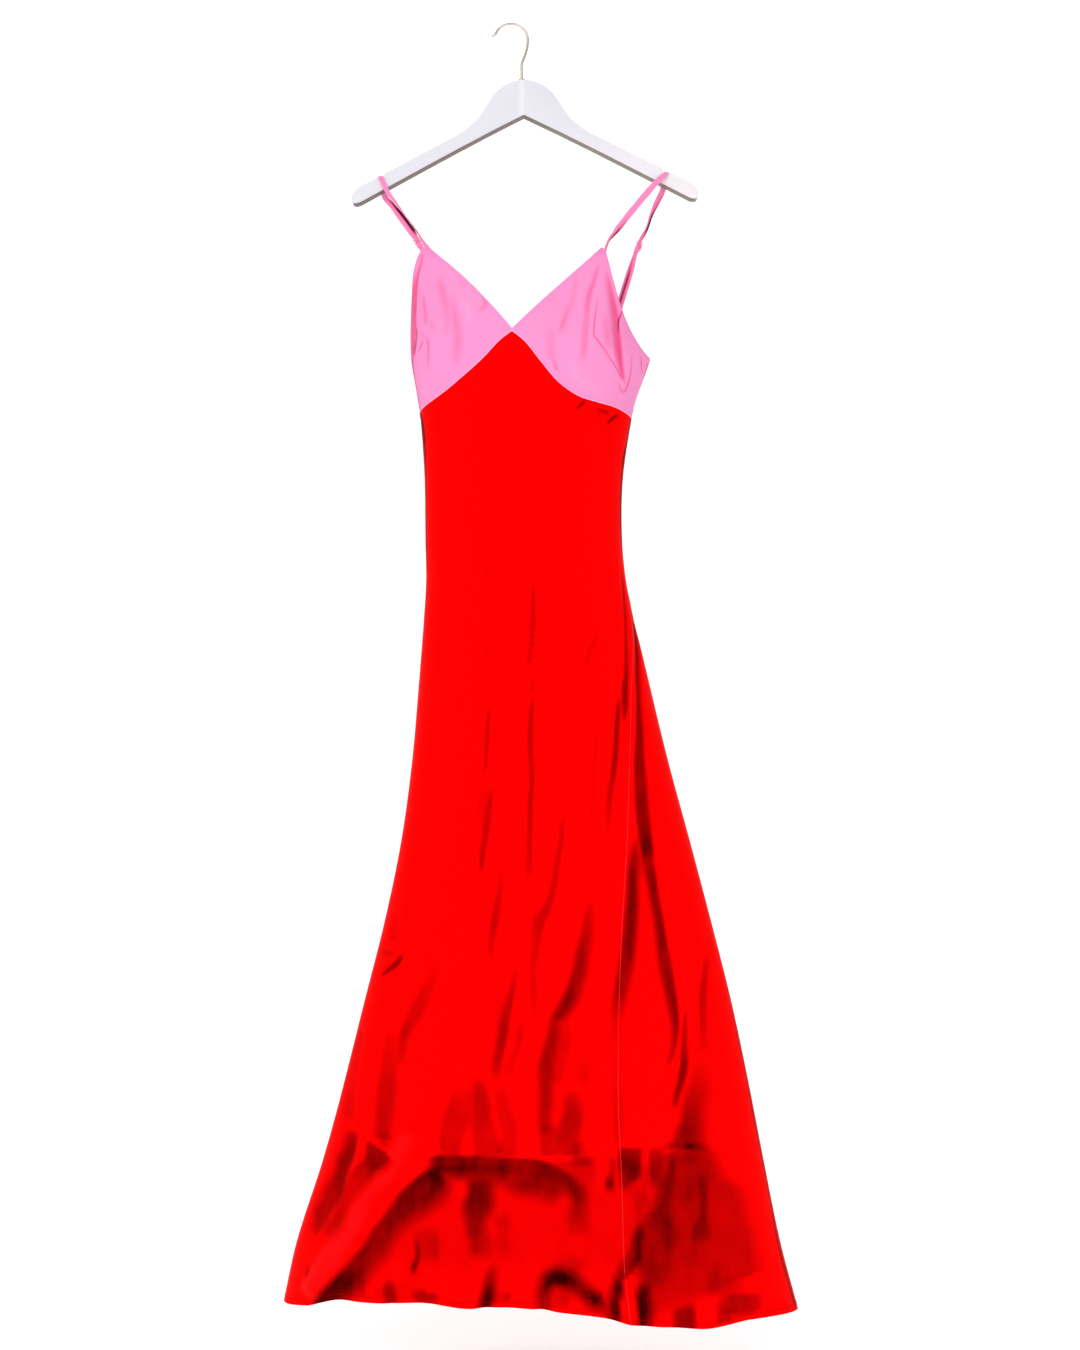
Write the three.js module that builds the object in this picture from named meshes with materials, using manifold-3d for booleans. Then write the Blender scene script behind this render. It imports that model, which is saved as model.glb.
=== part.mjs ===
// A slip dress hanging by its straps from a wooden clothes hanger.
// Millimetres, +Z up, +X to the right of the front, and the front faces -Y.
// The origin is the inner top of the hanger's hook, where a rail holds it.
import * as THREE from "three";
import { mergeVertices } from "three/addons/utils/BufferGeometryUtils.js";
import Module from "manifold-3d";

const { degToRad, lerp, smoothstep } = THREE.MathUtils;

// ---- Cloth ----
const WALL = 1.2; // outer cloth, with its seam allowances
const LINING_WALL = 1.0;
const SEAM_GAP = 0.3;
const ACROSS_SEAM = 0.18; // what each side leaves free at a seam that runs round the body

// The hanging cloth's level sections. Each is an ellipse whose front and back halves have depths of
// their own. turn is the angle, in degrees, of the side seam on the right: it swings to the front
// below the hip, where the back panel's flare opens.
const SECTIONS = table("z centre half front back turn", [
  [-284, 22, 157, 62, 40, 8],
  [-355, 26, 156, 76, 46, 8],
  [-406, 27, 155, 86, 50, 8],
  [-432, 26, 153, 86, 52, 8],
  [-483, 21, 140, 76, 56, 8],
  [-509, 20, 135, 70, 58, 8],
  [-586, 17, 127, 65, 60, 6.5],
  [-663, 17, 126, 64, 60, 5],
  [-715, 20, 128, 65, 61, 6],
  [-766, 24, 135, 67, 63, 15],
  [-843, 30, 147, 70, 66, 33],
  [-946, 38, 164, 72, 68, 47],
  [-1049, 45, 185, 74, 70, 57],
  [-1151, 48, 209, 76, 72, 64],
  [-1254, 48, 235, 78, 74, 68],
  [-1357, 46, 259, 80, 75, 70],
  [-1460, 42, 283, 82, 76, 70],
  [-1563, 36, 310, 84, 77, 70],
  [-1650, 38, 331, 86, 78, 70],
]);

// The seam under the bust: its height by the angle, in degrees, from the centre front.
const UNDERBUST = table("angle right left", [
  [0, -413, -413],
  [6, -426, -425],
  [14, -449, -445],
  [24, -473, -463],
  [36, -489, -479],
  [48, -495, -489],
  [62, -499, -496],
  [76, -504, -501],
  [90, -508, -508],
]);
const CENTRE_FRONT = 98.7; // degrees round the section at the bust, so the bodice turns a little
const BODICE_TURN = 8; // the side seam's turn all the way down the bodice
const FRONT_MIDDLE = (CENTRE_FRONT - BODICE_TURN) / 180; // share of the front to the right of it
const BUST_RADIUS = 120;
const BACK_SEAM_DIP = 6; // the waist of the back bodice is this much lower at the centre back
const BACK_TOP = { side: -432, centre: -446 };

// The cups' upper edges, as angle from the centre front and height. A neckline bows up by bow,
// and an armhole is a curve with two handles.
const CUP_EDGES = {
  right: {
    neck: [0, -411], bow: 3, apex: [43.2, -304],
    corner: [46.2, -304], handles: [[52.5, -366], [56, -434]], under: [90, -432],
  },
  left: {
    neck: [0, -411], bow: 11, apex: [45, -297],
    corner: [48.2, -297], handles: [[70, -326], [73, -422]], under: [90, -432],
  },
};
const CUP_FULLNESS = table("angle z rise reach", [
  [-38.6, -420, 9, 42],
  [48, -407, 7, 42],
]);

// The hem: its height by the angle round the section.
const HEM = table("angle z", [
  [0, -1649], [37, -1643], [51, -1648], [60, -1643], [69, -1639], [76, -1628], [86, -1620],
  [97, -1614], [106, -1617], [116, -1612], [127, -1616], [140, -1619], [152, -1630], [175, -1638],
  [215, -1634], [270, -1630], [320, -1638], [360, -1649],
]);

// Folds of the hanging skirt, on the front (side 1) or the back (side -1): the heights and the
// places across of both ends, the half width and the rise, which is negative in a trough.
const FOLDS = table("side top bottom xTop xBottom width rise", [
  [1, -1000, -1215, 70, 26, 16, -5],
  [1, -790, -1085, -26, -34, 14, -3],
  [1, -1060, -1330, 4, -20, 20, -6],
  [1, -780, -1070, 158, 176, 16, -7],
  [1, -1050, -1250, 158, 138, 18, -7],
  [1, -1050, -1290, 178, 209, 18, -8],
  [1, -1110, -1420, 104, 44, 26, -9],
  [1, -1190, -1300, -86, -132, 24, -5],
  [1, -1330, -1660, -90, -262, 30, 9],
  [1, -1410, -1660, -70, -262, 24, -9],
  [1, -1560, -1660, 40, 60, 42, 7],
  [1, -1560, -1660, 160, 166, 26, -9],
  [1, -1400, -1660, 214, 250, 34, 8],
  [1, -1400, -1660, 290, 320, 30, -6],
  [-1, -760, -1150, 60, 92, 22, -5],
  [-1, -900, -1660, -20, -52, 30, -9],
  [-1, -1000, -1660, 40, 60, 34, 8],
  [-1, -1060, -1660, 120, 168, 30, -8],
  [-1, -1100, -1660, -110, -176, 34, -8],
  [-1, -1250, -1660, -60, -112, 30, 7],
  [-1, -1300, -1660, 200, 250, 34, 7],
]);
const FOLD_FADE = 0.3; // share of a fold's length over which it rises and dies away

// The lining is a narrower slip that hangs free inside the skirt and ends well above the hem.
const LINING_SECTIONS = table("z centre half front back", [
  [-413, 26, 150, 76, 46],
  [-509, 19, 130, 58, 48],
  [-663, 15, 117, 48, 46],
  [-843, 18, 124, 50, 48],
  [-1049, 20, 150, 52, 50],
  [-1254, 18, 176, 55, 52],
  [-1435, 14, 197, 58, 54],
]);
const LINING_HEM = -1429;
const LINING_RELEASE = 0.12; // share of its height over which the lining leaves the skirt

// How finely the cloth is faceted.
const CUP_COLUMNS = 14;
const CUP_ROWS = 7;
const BACK_COLUMNS = 20;
const SKIRT_ROWS = 22;
const BODICE_ROWS = 3;
const LINING_ROWS = 12;
const APEX_COLUMN = 7; // the columns that end at the two corners of a cup's tip

// ---- Straps and their hardware ----
const STRAP = { width: 6.5, thick: 1.0 };
const STRAP_END = 0.42; // what a strap's square end leaves free over the tip of its cup
const STRAP_BACK = 27.3; // degrees from the centre back to a strap's ring
const SLIDER = { bar: 1.4, slot: 4.4, inside: 7.4, thick: 1.2, corner: 1.6 };
const BAR_REACH = 1; // how far a strap lies flat to each side of a bar's middle
// above: from the bodice's top edge to the ring's middle. ease: the play of a ribbon round the wire.
// turn: from the ring's middle to the middle of a ribbon's bend. apart: how far above the ring's
// middle the two strands of the strap still lie apart.
const RING = { radius: 4.8, wire: 0.8, above: 8, ease: 0.2, turn: 3.1, apart: 14 };
const TAB_OVERLAP = 6; // how far a ring's tab is sewn down over the bodice

// ---- Hanger ----
const TILT = degToRad(-0.5); // the hanger hangs a little low on the left
const HANGER = { centre: 15.5, thick: 16, bevel: 3, end: 222 };
const HUMP_TOP = -74.5;
// Half of the hump, from its top down to the arm: cubic curves, each as two handles and its end.
const HUMP_CURVES = [
  [14, -74.5, 27, -78.5, 36, -89.5],
  [47, -102.5, 53, -120.5, 67, -130.5],
  [72, -134.5, 79, -140, 86, -143.5],
];
const [ARM_X, ARM_Z] = HUMP_CURVES.at(-1).slice(-2); // where the arm's straight top starts
const ARM_SLOPE = 0.494;
const TIP = { top: 206, low: 211, pull: 0.6 }; // pull: how far the tip's rounding fills its corners
const UNDER_PEAK = -122;
const NOTCH = { from: 181.5, width: 8.5, depth: 4 }; // from: the middle of the hanger to the notch
// knee: where the wire turns from its bend back to its stem.
const HOOK = { wire: 1.7, bend: 21, knee: [17.9, -39], stemX: -2, stemTop: -50, buried: 20 };
const HOOK_ARC = { from: 172, to: -8, step: 12 }; // degrees of the bend round the rail
const HOOK_HOLE = 2;
const COLLAR = { radius: 4, high: 3, chamfer: 0.8 };
const HOOK_SIDES = 10;
const HOOK_STEPS = 44;

// ---- Colours and finishes ----
const FINISHES = {
  pinkSatin: { color: 0xff8ac4, roughness: 0.42, metalness: 0 },
  redSatin: { color: 0xf00404, roughness: 0.4, metalness: 0 },
  redLining: { color: 0xd80808, roughness: 0.55, metalness: 0 },
  trim: { color: 0xffa6cf, roughness: 0.35, metalness: 0 },
  paintedWood: { color: 0xe9e7f0, roughness: 0.45, metalness: 0 },
  wire: { color: 0xc9c2b4, roughness: 0.3, metalness: 1 },
};

const wasm = await Module();
wasm.setup();

const group = new THREE.Group();

// ---- Tables and curves ----

// Rows of numbers as objects with the named columns.
function table(columns, rows) {
  const names = columns.split(" ");
  return rows.map((row) => Object.fromEntries(names.map((name, i) => [name, row[i]])));
}

// The value of a column at a place along its table, on a smooth curve through the rows.
function along(rows, key, column, place) {
  const order = Math.sign(rows[1][key] - rows[0][key]);
  let i = 0;
  while (i < rows.length - 2 && (place - rows[i + 1][key]) * order > 0) i++;
  const slope = (j) => {
    const before = rows[Math.max(j - 1, 0)];
    const after = rows[Math.min(j + 1, rows.length - 1)];
    return (after[column] - before[column]) / (after[key] - before[key]);
  };
  const from = rows[i];
  const to = rows[i + 1];
  const span = to[key] - from[key];
  const t = THREE.MathUtils.clamp((place - from[key]) / span, 0, 1);
  const ease = t * t * (3 - 2 * t);
  return (
    lerp(from[column], to[column], ease) +
    span * t * (1 - t) * ((1 - t) * slope(i) - t * slope(i + 1))
  );
}

// ---- The form that the cloth hangs in ----

// A point of a level section, moved out along the section's own normal.
function sectionPoint(sections, angle, z, out) {
  const at = (column) => along(sections, "z", column, z);
  const half = at("half");
  const turned = degToRad(angle);
  const front = Math.sin(turned) > 0;
  const depth = at(front ? "front" : "back");
  const normal = new THREE.Vector3(Math.cos(turned) / half, -Math.sin(turned) / depth, 0);
  return new THREE.Vector3(at("centre") + half * Math.cos(turned), -depth * Math.sin(turned), z)
    .addScaledVector(normal.normalize(), out);
}

function foldRise(side, x, z) {
  let rise = 0;
  for (const fold of FOLDS) {
    if (fold.side !== side || z > fold.top || z < fold.bottom) continue;
    const share = (z - fold.top) / (fold.bottom - fold.top);
    const across = (x - lerp(fold.xTop, fold.xBottom, share)) / fold.width;
    const starts = smoothstep(share, 0, FOLD_FADE);
    const ends = fold.bottom < HEM[0].z ? 1 : smoothstep(1 - share, 0, FOLD_FADE);
    rise += fold.rise * starts * ends * Math.exp(-across * across);
  }
  return rise;
}

// A point of the outer cloth, with its folds.
function clothPoint(angle, z, out) {
  const point = sectionPoint(SECTIONS, angle, z, out);
  const facing = Math.sin(degToRad(angle));
  point.y -= foldRise(facing > 0 ? 1 : -1, point.x, z) * facing;
  return point;
}

// ---- Solids ----

// A closed wall. point(row, column, skin) gives its skins, 1 outside and -1 inside; rows run down
// and columns run from the right over the front to the left.
function wallGeometry(rows, columns, point) {
  const positions = [];
  const index = [];
  for (const skin of [1, -1])
    for (let row = 0; row <= rows; row++)
      for (let column = 0; column <= columns; column++)
        positions.push(...point(row, column, skin).toArray());
  const vertex = (row, column, skin) =>
    row * (columns + 1) + column + (skin < 0 ? (rows + 1) * (columns + 1) : 0);
  const quad = (a, b, c, d) => index.push(a, b, c, b, d, c);
  for (let row = 0; row < rows; row++)
    for (let column = 0; column < columns; column++) {
      const corners = (skin) => [
        vertex(row, column, skin), vertex(row, column + 1, skin),
        vertex(row + 1, column, skin), vertex(row + 1, column + 1, skin),
      ];
      quad(...corners(1));
      const [a, b, c, d] = corners(-1);
      quad(a, c, b, d);
    }
  for (let column = 0; column < columns; column++) {
    quad(
      vertex(0, column, 1), vertex(0, column, -1),
      vertex(0, column + 1, 1), vertex(0, column + 1, -1),
    );
    quad(
      vertex(rows, column, 1), vertex(rows, column + 1, 1),
      vertex(rows, column, -1), vertex(rows, column + 1, -1),
    );
  }
  for (let row = 0; row < rows; row++) {
    quad(
      vertex(row, 0, 1), vertex(row + 1, 0, 1),
      vertex(row, 0, -1), vertex(row + 1, 0, -1),
    );
    quad(
      vertex(row, columns, 1), vertex(row, columns, -1),
      vertex(row + 1, columns, 1), vertex(row + 1, columns, -1),
    );
  }
  return indexed(positions, index);
}

function indexed(positions, index) {
  const geometry = new THREE.BufferGeometry();
  geometry.setAttribute("position", new THREE.Float32BufferAttribute(positions, 3));
  geometry.setIndex(index);
  geometry.computeVertexNormals();
  return geometry;
}

// A flat ribbon through path, a list of { point, across }, where across is the way of its width.
function ribbonGeometry(path, { width, thick }) {
  const positions = [];
  const index = [];
  path.forEach(({ point, across }, i) => {
    const before = path[Math.max(i - 1, 0)].point;
    const after = path[Math.min(i + 1, path.length - 1)].point;
    const onward = after.clone().sub(before).normalize();
    const wide = across.clone().addScaledVector(onward, -across.dot(onward)).normalize();
    const face = wide.clone().cross(onward);
    for (const [w, t] of [[1, 1], [-1, 1], [-1, -1], [1, -1]]) {
      const corner = point.clone().addScaledVector(wide, (w * width) / 2);
      positions.push(...corner.addScaledVector(face, (t * thick) / 2));
    }
  });
  const last = (path.length - 1) * 4;
  for (let i = 0; i < last; i += 4)
    for (let side = 0; side < 4; side++) {
      const next = (side + 1) % 4;
      index.push(i + side, i + 4 + side, i + next, i + next, i + 4 + side, i + 4 + next);
    }
  index.push(0, 1, 2, 0, 2, 3, last, last + 2, last + 1, last, last + 3, last + 2);
  return indexed(positions, index);
}

// A geometry as a solid that can be cut, and back.
function solidOf(geometry) {
  const bare = geometry.clone();
  bare.deleteAttribute("normal");
  bare.deleteAttribute("uv");
  const merged = mergeVertices(bare, 1e-4);
  return new wasm.Manifold(
    new wasm.Mesh({
      numProp: 3,
      vertProperties: merged.attributes.position.array,
      triVerts: new Uint32Array(merged.index.array),
    }),
  );
}

function geometryOf(solid) {
  const mesh = solid.getMesh();
  return indexed(Array.from(mesh.vertProperties), Array.from(mesh.triVerts));
}

function addNode(name, geometry, finish) {
  const node = new THREE.Mesh(geometry, new THREE.MeshStandardMaterial(FINISHES[finish]));
  node.name = name;
  group.add(node);
  return node;
}

// ---- Bodice ----

const underbust = (side, angle) => along(UNDERBUST, "angle", side, angle);

// Where a cup's column ends at the top, as angle from the centre front and height.
function cupEdge({ neck, bow, apex, corner, under, handles }, column) {
  if (column <= APEX_COLUMN) {
    const t = column / APEX_COLUMN;
    return [lerp(neck[0], apex[0], t), lerp(neck[1], apex[1], t) + bow * Math.sin(Math.PI * t)];
  }
  const [a, b, c, d] = [corner, ...handles, under].map((pair) => new THREE.Vector2(...pair));
  const t = (column - APEX_COLUMN - 1) / (CUP_COLUMNS - APEX_COLUMN - 1);
  return new THREE.CubicBezierCurve(a, b, c, d).getPoint(t).toArray();
}

// The gap at a seam that runs down, as an angle.
function seamAngle(z) {
  return THREE.MathUtils.radToDeg(SEAM_GAP / 2 / along(SECTIONS, "z", "back", z));
}

function cupGeometry(side) {
  const hand = side === "right" ? -1 : 1; // angles grow from the right to the left
  const edge = CUP_EDGES[side];
  const width = side === "right" ? FRONT_MIDDLE * 180 : (1 - FRONT_MIDDLE) * 180;
  return wallGeometry(CUP_ROWS, CUP_COLUMNS, (row, column, skin) => {
    const step = side === "right" ? CUP_COLUMNS - column : column;
    const share = row / CUP_ROWS;
    const [edgeAngle, edgeZ] = cupEdge(edge, step);
    const seam = (width * step) / CUP_COLUMNS;
    const seamZ = underbust(side, (90 * step) / CUP_COLUMNS) + ACROSS_SEAM;
    const spread = step === CUP_COLUMNS ? seam : lerp(edgeAngle, seam, share);
    const z = lerp(edgeZ, seamZ, share);
    const inset = step === 0 ? seamAngle(z) : step === CUP_COLUMNS ? -seamAngle(z) : 0;
    let out = (skin * WALL) / 2;
    for (const point of CUP_FULLNESS) {
      const across = degToRad(hand * spread - point.angle) * BUST_RADIUS;
      const far = Math.hypot(across, z - point.z) / point.reach;
      out += point.rise * Math.exp(-far * far) * Math.sin(Math.PI * share);
    }
    return sectionPoint(SECTIONS, CENTRE_FRONT + hand * (spread + inset), z, out);
  });
}

// The angles of a panel's columns as shares of half the way round, and what a share's angle is.
const frontShares = [...Array(2 * CUP_COLUMNS + 1).keys()].map((column) => {
  return column <= CUP_COLUMNS
    ? (FRONT_MIDDLE * column) / CUP_COLUMNS
    : lerp(FRONT_MIDDLE, 1, column / CUP_COLUMNS - 1);
});
const backShares = [...Array(BACK_COLUMNS + 1).keys()].map((column) => column / BACK_COLUMNS);

function panelAngle(panel, share, z) {
  const inset = share === 0 ? seamAngle(z) : share === 1 ? -seamAngle(z) : 0;
  return along(SECTIONS, "z", "turn", z) + (panel === "back" ? 180 : 0) + share * 180 + inset;
}

// The height of the seam between bodice and skirt.
function waistZ(panel, share) {
  const ends = underbust("right", 90);
  if (panel === "back") return ends - BACK_SEAM_DIP * Math.sin(Math.PI * share);
  return share < FRONT_MIDDLE
    ? underbust("right", 90 * (1 - share / FRONT_MIDDLE))
    : underbust("left", (90 * (share - FRONT_MIDDLE)) / (1 - FRONT_MIDDLE));
}

function backBodiceGeometry() {
  return wallGeometry(BODICE_ROWS, BACK_COLUMNS, (row, column, skin) => {
    const share = backShares[column];
    const top = lerp(BACK_TOP.side, BACK_TOP.centre, Math.sin(Math.PI * share));
    const z = lerp(top, waistZ("back", share) + ACROSS_SEAM, row / BODICE_ROWS);
    return sectionPoint(SECTIONS, panelAngle("back", share, z), z, (skin * WALL) / 2);
  });
}

// ---- Skirt and lining ----

function skirtGeometry(panel, shares) {
  return wallGeometry(SKIRT_ROWS, shares.length - 1, (row, column, skin) => {
    const share = shares[column];
    const hemAngle = panelAngle(panel, share, HEM[0].z) % 360;
    const top = waistZ(panel, share) - ACROSS_SEAM;
    const z = lerp(top, along(HEM, "angle", "z", hemAngle), row / SKIRT_ROWS);
    return clothPoint(panelAngle(panel, share, z), z, (skin * WALL) / 2);
  });
}

function liningGeometry(panel, skirtShares) {
  const shares = skirtShares.filter((_, column) => column % 2 === 0);
  return wallGeometry(LINING_ROWS, shares.length - 1, (row, column, skin) => {
    const share = shares[column];
    const down = row / LINING_ROWS;
    const top = waistZ(panel, share) - SEAM_GAP;
    const z = lerp(top, LINING_HEM, down);
    const base = panelAngle(panel, share, top);
    const against = -(WALL / 2 + SEAM_GAP + LINING_WALL / 2);
    const sewn = sectionPoint(SECTIONS, base, z, against + (skin * LINING_WALL) / 2);
    const free = sectionPoint(LINING_SECTIONS, base, z, (skin * LINING_WALL) / 2);
    return sewn.lerp(free, smoothstep(down, 0, LINING_RELEASE));
  });
}

addNode("cup_right", cupGeometry("right"), "pinkSatin");
addNode("cup_left", cupGeometry("left"), "pinkSatin");
addNode("back_bodice", backBodiceGeometry(), "pinkSatin");
addNode("skirt_front", skirtGeometry("front", frontShares), "redSatin");
addNode("skirt_back", skirtGeometry("back", backShares), "redSatin");
addNode("lining_front", liningGeometry("front", frontShares), "redLining");
addNode("lining_back", liningGeometry("back", backShares), "redLining");

// ---- Straps, sliders, rings and tabs ----

const ACROSS = new THREE.Vector3(-1, 0, 0); // the way of a strap's width as it goes over the hanger

// A place with axes of its own: down along the strap, across it, and out from the body.
class Seat {
  constructor(origin, down, across, out) {
    Object.assign(this, { origin, down, across, out });
  }

  // The seat at a place on the straight way between two others.
  static between(origin, from, to) {
    const down = to.clone().sub(from).normalize();
    const across = ACROSS.clone().addScaledVector(down, -ACROSS.dot(down)).normalize();
    return new Seat(origin, down, across, down.clone().cross(across));
  }

  step(down, out) {
    const point = this.origin.clone().addScaledVector(this.down, down).addScaledVector(this.out, out);
    return { point, across: this.across };
  }

  matrix() {
    return new THREE.Matrix4()
      .makeBasis(this.across, this.down.clone().negate(), this.out)
      .setPosition(this.origin);
  }
}

// How far a ribbon's middle lies from the middle of what it passes.
const clear = (half) => half + SEAM_GAP + STRAP.thick / 2;
const OVER_BAR = clear(SLIDER.thick / 2);
const OVER_STRAP = OVER_BAR + STRAP.thick + SEAM_GAP;
const OVER_WIRE = clear(RING.wire) + RING.ease;
const BAR_PITCH = SLIDER.bar + SLIDER.slot; // from one bar's middle to the next

// The strap's way behind the slider's top bar, over the middle one and behind the lowest, as
// distances down and out from the slider's middle.
const THREADED = [
  [-BAR_PITCH - BAR_REACH, -OVER_BAR],
  [-BAR_PITCH + BAR_REACH, -OVER_BAR],
  [-BAR_REACH, OVER_BAR],
  [BAR_REACH, OVER_BAR],
  [BAR_PITCH - BAR_REACH, -OVER_BAR],
  [BAR_PITCH + BAR_REACH, -OVER_BAR],
];
// The strap's end comes back up behind the lowest bar to the middle one.
const SEWN_END = [
  [BAR_PITCH + BAR_REACH, -OVER_STRAP],
  [BAR_PITCH - BAR_REACH, -OVER_STRAP],
  [BAR_REACH, -OVER_BAR - RING.ease],
  [-BAR_REACH / 2, -OVER_BAR - RING.ease],
];

// A ribbon's turn round the ring's wire: the middles of its bend, from the outer strand to the
// inner one. hand is 1 when the strands go up and -1 when they go down.
function ringTurn(seat, hand) {
  return [0, 30, 60, 90, 120, 150, 180].map((degrees) => {
    const turned = degToRad(degrees);
    return seat.step(hand * (OVER_WIRE * Math.sin(turned) - RING.turn), OVER_WIRE * Math.cos(turned));
  });
}

// Which side each strap is on, the cup it is sewn to, where it sags behind the hanger, and where
// its slider hangs.
const STRAPS = {
  right: { hand: 1, cup: CUP_EDGES.right, sag: [194, 11, -213], slider: [166, 22, -280] },
  left: { hand: -1, cup: CUP_EDGES.left, sag: [-157, 12, -232], slider: [-119, 21, -275] },
};

// Turns a place on the level hanger to where the tilted one has it.
const tilted = (x, y, z) => new THREE.Vector3(x, y, z).applyAxisAngle(new THREE.Vector3(0, 1, 0), TILT);

const armTop = (fromMiddle) => ARM_Z - ARM_SLOPE * (fromMiddle - ARM_X);
const notchFloor = armTop(NOTCH.from) - NOTCH.depth;

// The strap's way over the hanger's arm: round the two top edges of the arm's notch.
function overArm(hand) {
  const edge = HANGER.thick / 2;
  const turn = clear(SEAM_GAP / 2);
  const corner = (y, degrees) => {
    const turned = degToRad(degrees);
    const x = HANGER.centre + hand * NOTCH.from;
    return tilted(x, y - turn * Math.cos(turned), notchFloor + turn * Math.sin(turned));
  };
  return [
    ...[0, 45, 90].map((degrees) => corner(-edge, degrees)),
    ...[90, 135, 180].map((degrees) => corner(edge, degrees)),
  ];
}

// Where a strap starts over the tip of its cup, on its way to the hanger. Its end is square, so it
// starts where its lower corner clears the tip.
function strapStart(hand, { apex, corner }, toward) {
  const tipAngle = CENTRE_FRONT - (hand * (apex[0] + corner[0])) / 2;
  const start = sectionPoint(SECTIONS, tipAngle, (apex[1] + corner[1]) / 2, 0);
  const rising = toward.clone().sub(start).normalize();
  const lift = (STRAP.width / 2) * Math.abs(rising.x) + STRAP_END;
  return start.addScaledVector(rising, lift / rising.z);
}

// The seat of a strap's ring, over the top edge of the back bodice.
function ringSeat(hand, sliderMiddle) {
  const angle = CENTRE_FRONT + 180 + hand * STRAP_BACK;
  const edgeZ = lerp(BACK_TOP.side, BACK_TOP.centre, Math.cos(degToRad(STRAP_BACK)));
  const foot = sectionPoint(SECTIONS, angle, edgeZ, 0);
  const out = sectionPoint(SECTIONS, angle, edgeZ, 1).sub(foot);
  const down = foot.clone().sub(sliderMiddle);
  down.addScaledVector(out, -down.dot(out)).normalize();
  return new Seat(foot.addScaledVector(down, -RING.above), down, out.clone().cross(down), out);
}

function addStrap(side) {
  const { hand, cup, sag, slider } = STRAPS[side];
  const arch = overArm(hand);
  const behind = new THREE.Vector3(...sag);
  const sliderMiddle = new THREE.Vector3(...slider);
  const ring = ringSeat(hand, sliderMiddle);
  const held = Seat.between(sliderMiddle, behind, ring.origin);
  const route = [
    ...[strapStart(hand, cup, arch[0]), ...arch, behind].map((point) => ({ point, across: ACROSS })),
    ...THREADED.map((place) => held.step(...place)),
    ring.step(-RING.apart, OVER_WIRE),
    ...ringTurn(ring, 1),
    ring.step(-RING.apart, -OVER_WIRE),
    ...SEWN_END.map((place) => held.step(...place)),
  ];
  const tab = [
    ring.step(RING.above + TAB_OVERLAP, OVER_WIRE),
    ...ringTurn(ring, -1),
    ring.step(RING.above + TAB_OVERLAP, -OVER_WIRE),
  ];
  addNode("strap_" + side, ribbonGeometry(route, STRAP), "pinkSatin");
  addNode("tab_" + side, ribbonGeometry(tab, STRAP), "pinkSatin");
  addNode("ring_" + side, ringGeometry(), "trim").applyMatrix4(ring.matrix());
  addNode("slider_" + side, sliderGeometry(), "trim").applyMatrix4(held.matrix());
}

function ringGeometry() {
  return new THREE.TorusGeometry(RING.radius, RING.wire, 8, 20);
}

function roundedRectangle(path, width, height, radius, middle = 0) {
  const x = width / 2;
  const y = height / 2;
  path.moveTo(-x + radius, middle - y);
  path.lineTo(x - radius, middle - y);
  path.quadraticCurveTo(x, middle - y, x, middle - y + radius);
  path.lineTo(x, middle + y - radius);
  path.quadraticCurveTo(x, middle + y, x - radius, middle + y);
  path.lineTo(-x + radius, middle + y);
  path.quadraticCurveTo(-x, middle + y, -x, middle + y - radius);
  path.lineTo(-x, middle - y + radius);
  path.quadraticCurveTo(-x, middle - y, -x + radius, middle - y);
  return path;
}

function sliderGeometry() {
  const { bar, slot, inside, thick, corner } = SLIDER;
  const frame = roundedRectangle(new THREE.Shape(), inside + 2 * bar, 3 * bar + 2 * slot, corner);
  for (const middle of [-BAR_PITCH / 2, BAR_PITCH / 2])
    frame.holes.push(roundedRectangle(new THREE.Path(), inside, slot, corner / 4, middle));
  const solid = { depth: thick, bevelEnabled: false, curveSegments: 3 };
  return new THREE.ExtrudeGeometry(frame, solid).translate(0, 0, -thick / 2);
}

addStrap("right");
addStrap("left");

// ---- Hanger ----

// Continues a path round a corner to its end.
function roundCorner(path, corner, end) {
  const handle = (point) => [lerp(point[0], corner[0], TIP.pull), lerp(point[1], corner[1], TIP.pull)];
  path.bezierCurveTo(...handle(path.currentPoint.toArray()), ...handle(end), ...end);
}

// The hanger's outline: half of it runs from the hump's top out over the arm, round the tip and
// back to the V below, and the other half mirrors it.
function hangerOutline() {
  const under = (x) => UNDER_PEAK - ARM_SLOPE * x;
  const { end } = HANGER;
  const right = new THREE.Path();
  right.moveTo(0, HUMP_TOP);
  for (const curve of HUMP_CURVES) right.bezierCurveTo(...curve);
  right.lineTo(TIP.top, armTop(TIP.top));
  roundCorner(right, [end, armTop(end)], [end, (armTop(end) + under(end)) / 2]);
  roundCorner(right, [end, under(end)], [TIP.low, under(TIP.low)]);
  right.lineTo(0, UNDER_PEAK);
  const points = right.getPoints(5);
  const left = points.slice(1, -1).reverse().map(({ x, y }) => new THREE.Vector2(-x, y));
  return new THREE.Shape([...points, ...left]);
}

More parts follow.
